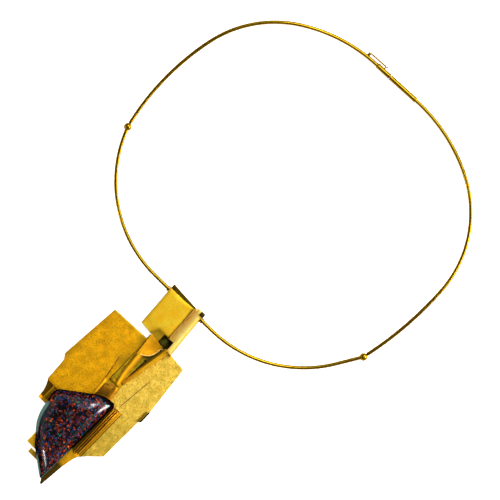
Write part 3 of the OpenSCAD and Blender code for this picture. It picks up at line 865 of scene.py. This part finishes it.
# Flanks of the ribbon. Its left side is rolled into a rounded fold and its narrow right edge is
# folded up, both from the leaf's own sheet.
FOLD_LINE = [(0.0, -17.8, 3.75), (0.2, -21.5, 3.85), (0.55, -26.1, 4.05), (0.95, -31.0, 4.05),
             (1.5, -36.0, 4.0), (2.6, -41.0, 3.9)]
EDGE_LINE = [(9.0, -17.6, 3.9), (8.0, -22.5, 3.7), (6.85, -28.0, 3.55), (5.85, -33.5, 3.45),
             (4.75, -39.3, 3.3)]
FOLD_SECTION = [(-0.55, -0.9), (-0.45, -0.45), (-0.3, -0.15), (-0.1, -0.02), (0.1, 0),
                (0.35, -0.08), (0.75, -0.35), (1.2, -0.8), (1.6, -1.5)]
EDGE_SECTION = [(-1.25, -1.35), (-1.1, -0.8), (-1.0, -0.35), (-0.85, -0.08), (-0.55, 0),
                (-0.2, -0.05), (0, -0.35), (0.02, -1.7)]


def spaced(points, count, steps):
    """The first of the points that part a run of points into even steps"""
    lengths = [0.0]
    for a, b in zip(points, points[1:]):
        lengths.append(lengths[-1] + (b - a).length)
    found, i = [], 1
    for k in range(count):
        goal = lengths[-1] * k / steps
        while lengths[i] < goal and i < len(points) - 1:
            i += 1
        share = (goal - lengths[i - 1]) / max(lengths[i] - lengths[i - 1], 1e-9)
        found.append(points[i - 1].lerp(points[i], share))
    return found


def through(points, count):
    """Evenly spaced points on a smooth curve through the given ones"""
    ends = [Vector(p) for p in points]
    ends = [2 * ends[0] - ends[1]] + ends + [2 * ends[-1] - ends[-2]]
    fine = []
    for a, b, c, d in zip(ends, ends[1:], ends[2:], ends[3:]):
        for k in range(16):
            u = k / 16
            fine.append(0.5 * (2 * b + (c - a) * u + (2 * a - 5 * b + 4 * c - d) * u ** 2
                               + (3 * b - a - 3 * c + d) * u ** 3))
    fine.append(ends[-2])
    return spaced(fine, count, count - 1)


FLANK = gold("flank_gold", (1.0, 0.56, 0.014), (0.94, 0.45, 0.009), 0.6,
             specks=((0.6, 0.3, 0.01), 0.4, 0.5), dark=(0.20, 0.075, 0.006))
FOLD_ROWS = 24
EDGE_ROWS = 16
fold_rows = []
for i, p in enumerate(through(FOLD_LINE, FOLD_ROWS)):
    flange = [(x, p.y, z) for x, z in (
        (-1.5, 2.8), (-0.95, 2.85), (-0.85, 3.5), ((p.x - 1.45) / 2, 3.45))]
    width = 1.25 - 0.25 * i / (FOLD_ROWS - 1)
    fold_rows.append(flange + [(p.x + dx * width, p.y, p.z + dz) for dx, dz in FOLD_SECTION])
left_fold = formed_sheet("left_fold", fold_rows, FLANK, thickness=0.4, edge=0.08)
# The flange beside the left plate takes the valley's gold, whose greenish dark is painted shade.
refinish(left_fold, VALLEY, lambda x, y, z, n: z < 3.6 and x < 1.2)
# The fold is darkened for its tone, and further by painted shade in the groove and under the lobe.
shade(left_fold, lambda x, y, z: (
    0.4 + 0.4 * smooth(0.3, 0, abs(x + 0.85)) * smooth(-21, -26, y)
    - 0.1 * (z < 3.6) * (x < 1.2) + 0.2 * smooth(-26, -20, y) * (z < 3.66)))
edge_rows = [[(p.x + dx * (1.9 - i / (EDGE_ROWS - 1)), p.y, p.z + dz) for dx, dz in EDGE_SECTION]
             for i, p in enumerate(through(EDGE_LINE, EDGE_ROWS))]
right_edge = formed_sheet("right_edge", edge_rows, FLANK, thickness=0.3, edge=0.06)
shade(right_edge, lambda x, y, z: 0.25 + 0.6 * smooth(0.26, 0.1, abs(x - (6.9 + (y + 25) * 0.182))))

# Lobe. A cupped tongue of bright gold comes out from under the panel's foot over the valley, with
# a rounded rim.
LOBE_HEAD = [(-1.2, -17.2, 4.35), (2.4, -17.8, 4.15), (5.5, -18.4, 4.0)]
LOBE_RIM = [(0.0, -27.0, 4.1), (1.3, -26.0, 3.85), (3.1, -24.9, 3.75), (4.6, -23.2, 3.7),
            (5.2, -21.2, 3.6), (5.4, -19.0, 3.5)]
LOBE = gold("lobe_gold", (0.78, 0.38, 0.010), (0.66, 0.29, 0.006), 0.66, depth=0.008,
            specks=((0.55, 0.26, 0.008), 0.35, 0.5), dark=(0.45, 0.22, 0.01))
LOBE_ROWS = 13
LOBE_COLUMNS = 17
LOBE_CUP = 0.35
head, rim = through(LOBE_HEAD, LOBE_COLUMNS), through(LOBE_RIM, LOBE_COLUMNS)
lobe_rows = []
for k in range(LOBE_ROWS):
    t = k / (LOBE_ROWS - 1)
    row = []
    for j, (a, b) in enumerate(zip(head, rim)):
        p, s = a.lerp(b, t), j / (LOBE_COLUMNS - 1)
        cup = LOBE_CUP * math.sin(math.pi * t) * math.sin(math.pi * min(1, s * 0.9 + 0.08))
        row.append((p.x, p.y, p.z - cup + 0.3 * smooth(0.72, 0.92, t) * smooth(0.1, 0.4, s)))
    lobe_rows.append(row)
lobe = formed_sheet("lobe", lobe_rows, LOBE, thickness=0.45, edge=0.12)
# The rim is a real bead, and its paler gold is painted highlight.
lobe_rim = swept_wire("lobe_rim", [placed(BAIL, p.x, p.y, p.z + 0.12) for p in rim[2:]], 0.24, PALE,
                      sides=16)

# Neck of the ribbon, just above the stone: a creased strip with fine scored lines on its left
# half, and a smooth bright triangle on its right.
NECK_RIDGE = [(3.3, -41.6, 3.75), (2.8, -49.4, 3.72)]
RIB_GOLD = gold("rib_gold", (0.78, 0.37, 0.012), (0.60, 0.26, 0.007), 0.32, blotch=1.5,
                dark=(0.26, 0.10, 0.004))
SCORED = gold("scored_gold", (0.27, 0.115, 0.008), (0.17, 0.07, 0.004), 0.5, grain=0.3, depth=0.01,
              blotch=1.0)
TRIANGLE = gold("triangle_gold", (0.48, 0.19, 0.008), (0.38, 0.14, 0.005), 0.4, blotch=2)


def rib_tree():
    """Geometry Nodes: repeats one bar from a first place to a last, each slid a little at random"""
    tree, add, given = node_group("ribs", "Ribs", Bar="Geometry", Count="Int", Last_Offset="Vector",
                                  Slide="Float", Seed="Int", Metal="Material")
    places = add("GeometryNodeMeshLine", {"mode": "END_POINTS"}, Count=given["Count"],
                 Start_Location=(0, 0, 0), Offset=given["Last Offset"])
    slide = add("ShaderNodeMath", {"operation": "MULTIPLY"}, _0=given["Slide"], _1=-1.0)
    low = add("ShaderNodeCombineXYZ", Y=slide.outputs["Value"])
    high = add("ShaderNodeCombineXYZ", Y=given["Slide"])
    jitter = add("FunctionNodeRandomValue", {"data_type": "FLOAT_VECTOR"}, Seed=given["Seed"],
                 Min=low.outputs["Vector"], Max=high.outputs["Vector"])
    moved = add("GeometryNodeSetPosition", Geometry=places.outputs["Mesh"],
                Offset=jitter.outputs["Value"])
    bars = add("GeometryNodeInstanceOnPoints", Points=moved.outputs["Geometry"],
               Instance=given["Bar"])
    end_group(add, bars.outputs["Instances"], given["Metal"])
    return tree


RIBS = rib_tree()


def ribbed(name, start, end, width, height, count, last, slide, seed, material):
    """Parallel rounded bars: the first lies from start to end, the others are set off from it"""
    a, b = Vector(start), Vector(end)
    along_bar = (b - a).normalized()
    side = along_bar.cross(Vector((0, 0, 1))).normalized()
    up = side.cross(along_bar)
    section = [(math.cos(t), math.sin(t)) for t in (math.pi * k / 8 for k in range(9))]
    section += [(-1, -0.6), (1, -0.6)]
    loops = [[a.lerp(b, share) + side * width * x * thin + up * height * y * thin
              for x, y in section] for share, thin in ((0, 0.7), (0.012, 1), (0.988, 1), (1, 0.7))]
    bar = lofted(name, loops, BAIL, material)
    run_nodes(bar, RIBS, Count=count, Last_Offset=tuple(Vector(last) * MM), Slide=slide * MM,
              Seed=seed, Metal=material)
    return finished(bar)


def ruled(lines):
    """Rows of points that run in four even steps along straight lines"""
    return [[mix(*line, share) for line in lines] for share in (0, 0.25, 0.5, 0.75, 1)]


neck_left = formed_sheet("neck_left", ruled([
    ((-1.5, -44.2, 2.8), (-1.5, -50.0, 2.8)), ((-0.95, -43.9, 3.5), (-0.6, -50.0, 3.5)),
    ((1.2, -42.0, 3.77), (1.8, -50.0, 3.7)), NECK_RIDGE]), SCORED, thickness=0.5)
neck_right = formed_sheet("neck_right", ruled([
    ((3.35, -41.3, 3.72), (2.85, -49.4, 3.7)), ((4.2, -41.8, 3.4), (4.4, -49.2, 3.4)),
    ((4.75, -41.9, 2.9), (5.8, -48.6, 2.9))]), TRIANGLE, thickness=0.5)
neck_scores = ribbed("neck_scores", (-0.35, -44.0, 3.62), (0.75, -48.2, 3.6), 0.13, 0.08, 6,
                     (2.5, 1.5, 0.15), 0.1, 8, RIB_GOLD)
shade(neck_scores, lambda x, y, z: 0.8)

# Bearing. Two lengths of drawn tube are soldered inside the fold, and the bail turns on the ring
# wire with them.
BEARING = (0.82, 1.25, 0.1)
TUBE_SEAM = (4.2, 5.5)
at_wire = Matrix.Translation(BAIL_AT)
joined("bail", [
    panel, column, divider, socket, mouth_plate, back_leaf, left_fold, right_edge, lobe, lobe_rim,
    neck_left, neck_right, neck_scores,
    washer("tube_left", at_wire, TUBE_ENDS[0], TUBE_SEAM[0], *BEARING),
    washer("tube_right", at_wire, TUBE_SEAM[1], TUBE_ENDS[1], *BEARING)],
    "pendant", "bail_fold")

# Left plate. Orange gold sheet with a fine matte grain, darker towards its edges, with a saw slit
# beside which its right edge is bent up.
LEFT_PLATE = [(-18.1, -20.3), (-1.0, -19.8), (-1.0, -50.6), (-11.2, -58.4), (-18.1, -58.2),
              (-18.7, -48.3), (-20.2, -46.1)]
LEFT_SLIT = ((-4.1, -32.7), (-2.3, -42.0))
LEFT_TOP = 3.7
ORANGE = gold("orange_gold", (0.90, 0.43, 0.006), (0.69, 0.31, 0.004), 0.6, grain=0.3, depth=0.014,
              blotch=3, specks=((0.36, 0.18, 0.005), 0.7, 0.6), dark=(0.30, 0.16, 0.006))
left_plate = cut_sheet("left_plate_sheet", eased(LEFT_PLATE, 0.15, steps=2), lambda x, y: LEFT_TOP,
                       ORANGE, holes=[slit(*LEFT_SLIT, SAW_CUT)])
lean_cut(left_plate, *LEFT_SLIT, LEFT_TOP - 0.4)
# Darker towards the left edge and the top, with a random tone; beside the ribbon and on the lower
# points, in the slit walls and under the plate, the darkening is painted shade.
shade(left_plate, lambda x, y, z: (
    0.5 * smooth(2.2, 0, x + 19.2) + 0.8 * smooth(-4.8, -1.4, x) * smooth(-44, -30, y)
    + 0.35 * smooth(-22.5, -20, y) + 0.5 * (z < LEFT_TOP - 0.15)
    + 0.7 * noise.noise(Vector((x, y, 3)) / 3.5)))
bent_edge = formed_sheet("bent_edge", ruled([
    ((-2.5, -41.6, 3.72), (-1.75, -50.1, 3.72)), ((-2.2, -41.8, 4.0), (-1.5, -50.1, 4.1)),
    ((-1.8, -42.0, 4.05), (-1.15, -50.2, 4.15)), ((-1.0, -42.8, 3.72), (-0.75, -50.2, 3.72))]),
    FLANK, thickness=0.25, edge=0.06)
shade(bent_edge, lambda x, y, z: 0.3)
joined("left_plate_visual", [left_plate, bent_edge], "pendant", "left_plate")

# Right plate. Paler gold with a coarse grain that shows dark pits, a fine slit, and a small tab
# folded up on its right edge.
RIGHT_PLATE = [(1, -19.2), (8.9, -17.9), (17.5, -18.8), (19.7, -39.5), (19.1, -45.9), (18.8, -64.7),
               (14.1, -69.1), (12, -71.5), (8.4, -71.5), (8.4, -50.5), (7.6, -50.5), (7.6, -47.4),
               (1, -47.4)]
RIGHT_SLIT = ((11.3, -31.0), (9.7, -46.8))
RIGHT_TOP = 1.65
FINE_CUT = 0.42
COARSE = gold("coarse_gold", (0.97, 0.65, 0.095), (0.77, 0.465, 0.045), 0.6, grain=0.45, depth=0.02,
              specks=((0.42, 0.26, 0.016), 0.75, 0.6), dark=(0.36, 0.225, 0.016))
right_plate = cut_sheet("right_plate_sheet", eased(RIGHT_PLATE, 0.15, steps=2),
                        lambda x, y: RIGHT_TOP, COARSE, holes=[slit(*RIGHT_SLIT, FINE_CUT)],
                        grid=0.8)
# The part under the ribbon is painted black as shade, so that the slit and the drilled hole above
# it look dark.
UNDER_RIBBON_SHADE = gold("fire_scaled_gold", (0.022, 0.014, 0.004), (0.012, 0.008, 0.003), 0.7, grain=0.3,
                  blotch=2, edge_tint=(0.2, 0.15, 0.05))
refinish(right_plate, UNDER_RIBBON_SHADE, lambda x, y, z, n: (
    n.z > 0.4 and y > -38.5 and x < (5.4 if y > -33 else 4.6)))
lean_cut(right_plate, *RIGHT_SLIT, RIGHT_TOP - 0.4)
# Darker towards the bottom, with a random tone and dark pits; the lower points, in the slit walls
# and under the plate, are painted darker as shade.
shade(right_plate, lambda x, y, z: (
    0.35 * smooth(-44, -56, y) + 0.4 * (noise.noise(Vector((x, y, 9)) / 3) + 0.05)
    + 0.5 * smooth(-44, -60, y) * noise.noise(Vector((x, y, 4)) / 0.9)
    + 0.4 * (z < RIGHT_TOP - 0.15)))
tab_rows = [[(18.3, y, 1.6), (18.75, y, 2.2), (19.2, y + 0.1, 2.45), (19.6, y + 0.3, 2.2),
             (19.95, y + 0.6, 1.2)] for y in (-45.6, -43.5, -41.5, -40.4)]
tab = formed_sheet("edge_tab", tab_rows, COARSE, thickness=0.3, edge=0.06)
# The faces of the tab that turn to the right take the near-black gold as painted shade, and the
# whole tab is darkened.
refinish(tab, DARK_GOLD, lambda x, y, z, n: n.x > 0.3)
shade(tab, lambda x, y, z: 0.9)
joined("right_plate_visual", [right_plate, tab], "pendant", "right_plate")

# Setting. The stone lies in a closed gallery with a floor. A band of overlapping ribs slopes down
# from its straight edge, a strip follows it to the tip, and bent tabs reach out on the left.
STONE = [(7.2, -88.2, 0.5), (8.4, -46.9, 1.5), (2.5, -47.2, 10), (-13.2, -58.6, 3.5),
         (-10.9, -71.5, 16), (-3.2, -80.4, 12)]
GALLERY_INSET = 1.7
GALLERY_POINTS = 120
STONE_Z = 3.8


def corners_of(rows):
    """Each corner of an outline, the ones before and after it, and its radius"""
    points = [Vector(row[:2]) for row in rows]
    return zip(points, points[-1:] + points, points[1:] + points[:1], [row[2] for row in rows])


def outline_of(rows, count):
    """Evenly spaced points round an outline whose corners are arcs of their own radius"""
    points = []
    for p, before, after, radius in corners_of(rows):
        a, b = (before - p).normalized(), (after - p).normalized()
        half = a.angle(b) / 2
        middle = (a + b).normalized()
        centre = p + middle * radius / math.sin(half)
        start = math.atan2(-middle.y, -middle.x)
        for k in range(17):
            angle = start + (math.pi / 2 - half) * (k / 8 - 1)
            points.append(centre + radius * Vector((math.cos(angle), math.sin(angle))))
    return spaced(points + points[:1], count, count)


def inset(rows, depth):
    """Rows of an outline moved inward, its corners tightened to fit"""
    moved = []
    for p, before, after, radius in corners_of(rows):
        a, b = (p - before).normalized(), (after - p).normalized()
        na, nb = Vector((-a.y, a.x)), Vector((-b.y, b.x))
        q = p + depth * (na + nb) / (1 + na.dot(nb))
        moved.append((q.x, q.y, max(radius - 2 * depth, 0.3)))
    return moved


SETTING = gold("setting_gold", (1.0, 0.48, 0.010), (0.84, 0.37, 0.006), 0.58, depth=0.008, blotch=3,
               specks=((0.5, 0.23, 0.008), 0.4, 0.5), dark=(0.09, 0.047, 0.004),
               edge_tint=(0.5, 0.35, 0.1))
floor_outline = outline_of(inset(STONE, GALLERY_INSET), GALLERY_POINTS)
gallery_floor = lofted("gallery_floor", [[(x, y, z) for x, y in floor_outline]
                                         for z in (0, 0.05, 0.75, 0.8)], BAIL, SETTING)
wall_loops = [[(x, y, z) for x, y in floor_outline + floor_outline[:1]]
              for z in (0.02, 1.2, 2.5, STONE_Z - 0.02)]
gallery_wall = formed_sheet("gallery_wall", wall_loops, SETTING, outer=(0, 0, 0), edge=0.05)
band = ribbed("band", (9.0, -48.6, 4.8), (9.1, -71.4, 4.8), 0.24, 0.36, 3, (1.7, 0, -1.25), 0.35, 3,
              RIB_GOLD)
shade(band, lambda x, y, z: 0.3)
bed_across = [(6.3, 3.74), (8.1, 3.74), (8.25, 4.8)]
bed_across += [(8.5 + 0.25 * k, 4.72 - 0.185 * k) for k in range(17)]
bed_along = ((-47.9, 1.3), (-48.05, 0.8), (-48.3, 0.35), (-48.8, 0.05), (-56, 0), (-64, 0),
             (-71.1, 0))
band_bed = formed_sheet("band_bed", [[(x, y, max(1.7, z - drop * (x > 8.2))) for x, z in bed_across]
                                     for y, drop in bed_along], SETTING, thickness=0.5)
# Painted shade darkens the bed between the ribs and a line along its outer edge; the streaks across
# its outer part are painted reflections.
shade(band_bed, lambda x, y, z: (0.92 if x < 10.85 else 0.72 + 0.25 * math.sin(9 * x + y / 30))
      + 0.6 * smooth(12.1, 12.4, x))
STRIP_OUTLINE = [(5.8, -70.9), (6.5, -86), (7.0, -87.3), (8.2, -89.35), (8.9, -89.3), (9.4, -84),
                 (9.9, -78.7), (11, -73.2), (12, -70.9)]
lower_strip = cut_sheet("lower_strip", eased(STRIP_OUTLINE, 0.2, steps=3), lambda x, y: 3.75,
                        SETTING, thickness=1.2)
shade(lower_strip, lambda x, y, z: 0.22 + 0.78 * smooth(-78.0, -79.2, y + (x - 9) * 0.3))
corner_edge = ((-58.3, -17.8), (-59.0, -17.4), (-59.8, -17.0), (-61.4, -16.4), (-63.1, -16.07),
               (-64.1, -16.03), (-64.5, -16.0), (-65.6, -16.0))
corner_rows = [[(x, y, z) for x, z in (
    (left, 0.9), (left * 0.4 - 14.6 * 0.6, 2.4), (-14.5, 3.25), (-14.25, 3.4), (-14.0, 3.35),
    (-12.7, 2.9), (-11.2, 2.3), (-9, 2.2))] for y, left in corner_edge]
corner_tab = formed_sheet("corner_tab", corner_rows, SETTING, thickness=0.6)
# Painted shade darkens the tab's upper facets; a thin line along its ridge stays bright as a
# painted highlight, and the lowest facet stays undarkened.
shade(corner_tab, lambda x, y, z: 0.08 + (
    (0.95 - 0.45 * (x > -14.2)) * smooth(-64.5, -64.1, y) * smooth(0.05, 0.2, abs(x + 14.25))))
corner_scores = ribbed("corner_scores", (-13.4, -59.0, 3.2), (-13.4, -63.8, 3.2), 0.11, 0.06, 5,
                       (1.9, 0, -0.68), 0.15, 5, SCORED)
side_tab = formed_sheet("side_tab", [[(-7.0, y, 2.4), (-6.2, y, 2.9), (-4, y, 3.7), (-1, y, 3.7)]
                                     for y in (-81.1, -79, -77, -75.9)], SATIN, thickness=0.6)
shade(side_tab, lambda x, y, z: 0.1 * smooth(-5.4, -6.6, x) + 0.1 * smooth(-80.4, -81.1, y))
small_tab = formed_sheet("small_tab", [[(-3.9, y, 2.5), (-3.2, y, 2.85), (-1, y, 3.6), (3, y, 3.6)]
                                       for y in (-83.7, -82.7, -81.8)], SATIN, thickness=0.6)
shade(small_tab, lambda x, y, z: 0.4)
joined("stone_setting_visual", [
    gallery_floor, gallery_wall, band, band_bed, lower_strip, corner_tab, corner_scores, side_tab,
    small_tab], "pendant", "stone_setting")

# Stone. A long cabochon of dark opal, domed over a line from its broad end to its tip, polished,
# with a clear rim on its left side. Flecks of red, orange, blue and green lie under its surface.
GIRDLE_H = 0.9
DOME_H = 6.2
RIDGE = [Vector((1.2, -57)), Vector((4.2, -77))]
DEEP_FLECKS = (0.9, 0.6, 0.6, -0.6, ((0.0, (0.006, 0.016, 0.06)), (0.2, (0.003, 0.03, 0.03)),
                                     (0.35, (0.04, 0.005, 0.008)), (0.6, (0.07, 0.008, 0.004))))
SMALL_FLECKS = (0.5, 0.765, 0.48, -0.5, ((0.0, (0.015, 0.05, 0.20)), (0.24, (0.008, 0.11, 0.13)),
                                        (0.42, (0.24, 0.024, 0.006)), (0.86, (0.10, 0.01, 0.025)),
                                        (0.94, (0.02, 0.14, 0.04))))
FLECK_SHIFT = 0.031
TIP_FROM = -77
BRIGHT_FLECKS = (0.75, 0.87, 0.55, 1.3, ((0.0, (0.44, 0.048, 0.005)), (0.45, (0.26, 0.021, 0.004)),
                                         (0.78, (0.54, 0.10, 0.008)), (0.975, (0.015, 0.2, 0.06))))


def on_ridge(p):
    run = RIDGE[1] - RIDGE[0]
    return RIDGE[0] + run * min(1, max(0, (p - RIDGE[0]).dot(run) / run.length_squared))


def toward(p, outline):
    """Where the line from the ridge to a point crosses another outline"""
    start = on_ridge(p)
    run = p - start
    found = 1.0
    for a, b in zip(outline, outline[1:] + outline[:1]):
        across = run.cross(b - a)
        if abs(across) > 1e-9:
            t, u = (a - start).cross(b - a) / across, (a - start).cross(run) / across
            if 0 <= u <= 1 and 0.3 < t < 1:
                found = min(found, t)
    return start + run * found


def opal_material(name, polish):
    """Near-black stone; its layers of flecks are (size, least level, reach, pull, colours)"""
    material, add, place = new_material(name)

    def maths(kind, a, b):
        return add("ShaderNodeMath", {"operation": kind}, _0=a, _1=b).outputs["Value"]

    wobble = add("ShaderNodeTexNoise", Vector=place, Scale=1 / (0.8 * MM), Detail=2.0)
    shift = add("ShaderNodeVectorMath", {"operation": "MULTIPLY_ADD"}, _0=wobble.outputs["Color"],
                _1=(1.1 * MM,) * 3, _2=place)
    patch = maths("SUBTRACT", cloud(add, place, 5), 0.5)
    colour = (0.003, 0.002, 0.003, 1)
    layers = (DEEP_FLECKS, SMALL_FLECKS, BRIGHT_FLECKS)
    for index, (size, threshold, reach, pull, stops) in enumerate(layers):
        apart = add("ShaderNodeVectorMath", {"operation": "ADD"}, _0=shift.outputs["Vector"],
                    _1=(index * FLECK_SHIFT,) * 3)
        cells = add("ShaderNodeTexVoronoi", Vector=apart.outputs["Vector"], Scale=1 / (size * MM))
        parts = add("ShaderNodeSeparateColor", Color=cells.outputs["Color"])
        level = maths("ADD", parts.outputs["Red"], maths("MULTIPLY", patch, pull))
        shown = stretched(add, level, threshold, threshold + 0.06)
        inside = stretched(add, cells.outputs["Distance"], reach, reach + 0.12, To_Min=1.0,
                           To_Max=0.0)
        ramp = add("ShaderNodeValToRGB", Fac=parts.outputs["Green"])
        ramp.color_ramp.interpolation = "CONSTANT"
        elements = ramp.color_ramp.elements
        while len(elements) < len(stops):
            elements.new(0.5)
        for element, (at, tint) in zip(elements, stops):
            element.position, element.color = at, (*tint, 1)
        colour = blend(add, maths("MULTIPLY", shown, inside), colour, ramp.outputs["Color"])
    colour = blend(add, marked(add, "margin"), colour, (0.002, 0.001, 0.001, 1))
    # The rim layer holds the clear rim on the left and a painted reflection: a pale line along the
    # lower right edge.
    colour = blend(add, marked(add, "rim"), colour, (0.10, 0.19, 0.155, 1))
    shader = add("ShaderNodeBsdfPrincipled", Base_Color=colour, Roughness=0.3, IOR=1.45,
                 Specular_IOR_Level=0.25 * polish, Specular_Tint=(0.45, 0.75, 1, 1),
                 Coat_Weight=polish, Coat_Roughness=0.08, Coat_IOR=1.45)
    add("ShaderNodeOutputMaterial", Surface=shader.outputs["BSDF"])
    return material


SIDE_SLOPE = 0.78
STONE_FOOT_INSET = 0.3
COUNT = 220
STEPS = 40
SHOULDER_R = 5.5
CROWN_AT = math.radians(88)
girdle = outline_of(STONE, COUNT)
blunt = [(x, y, SHOULDER_R if i == 1 else radius) for i, (x, y, radius) in enumerate(STONE)]
shoulder = outline_of(blunt, COUNT)
shoulder = [toward(p, shoulder) for p in girdle]
foot_line = outline_of(inset(STONE, STONE_FOOT_INSET), COUNT)
rings = [[(p.x, p.y, STONE_Z) for p in foot_line]]
for share in (0.25, 0.6):
    z = STONE_Z + GIRDLE_H * share
    rings.append([(*foot.lerp(edge, share), z) for foot, edge in zip(foot_line, girdle)])
for k in range(STEPS + 1):
    lift = CROWN_AT * k / STEPS
    line = [p.lerp(q, smooth(0, 0.6, k / STEPS)) for p, q in zip(girdle, shoulder)]
    z = STONE_Z + GIRDLE_H + DOME_H * math.sin(lift)
    rings.append([(*on_ridge(p).lerp(p, math.cos(lift)), z) for p in line])
bm, grid = skin([[placed(BAIL, *p) for p in ring] for ring in rings], closed=True,
                layers=("margin", "rim"))
margin_layer, rim_and_glint_layer = (bm.verts.layers.float[layer] for layer in ("margin", "rim"))
bm.faces.new(grid[0])
bm.faces.new(grid[-1])
for i, row in enumerate(grid):
    depth = 1 - math.cos(CROWN_AT * max(0, i - 3) / STEPS)
    for edge, vert in zip(girdle, row):
        left = smooth(0.2, 1.6, 6.9 - edge.x)
        if edge.y > TIP_FROM:
            left = smooth(-5, -7, edge.x) * smooth(-63.6, -65.2, edge.y)
        left *= 1 - smooth(-75.2, -76.6, edge.y) * smooth(-83.0, -81.8, edge.y)
        # A pale line along the lower right edge, put on the rim layer, is a painted reflection.
        painted_glint = 0.6 * smooth(6.9, 7.2, edge.x) * smooth(-70, -74, edge.y)
        vert[rim_and_glint_layer] = (left * (1 - smooth(0.08, 0.12, depth))
                           + painted_glint * smooth(0.02, 0.04, depth) * (1 - smooth(0.06, 0.1, depth)))
        wide = 0.02 + 0.05 * smooth(-2, 3, edge.x) + 0.05 * smooth(6.0, 7.2, edge.x)
        vert[margin_layer] = ((1 - left) * (1 - smooth(wide, wide + 0.05, depth))
                              + 0.8 * left * smooth(0.09, 0.12, depth)
                              * (1 - smooth(0.16, 0.24, depth)))
bmesh.ops.recalc_face_normals(bm, faces=bm.faces[:])
opal_mesh = mesh_of("opal_stone", bm, opal_material("polished_opal", 0.9),
                    opal_material("ground_opal", 0))
for face in opal_mesh.polygons:
    face.material_index = int(face.normal.z < SIDE_SLOPE)
opal = finished(new_object("opal_stone", opal_mesh), sharp_above=60)
stands_for(opal, "pendant", "opal")
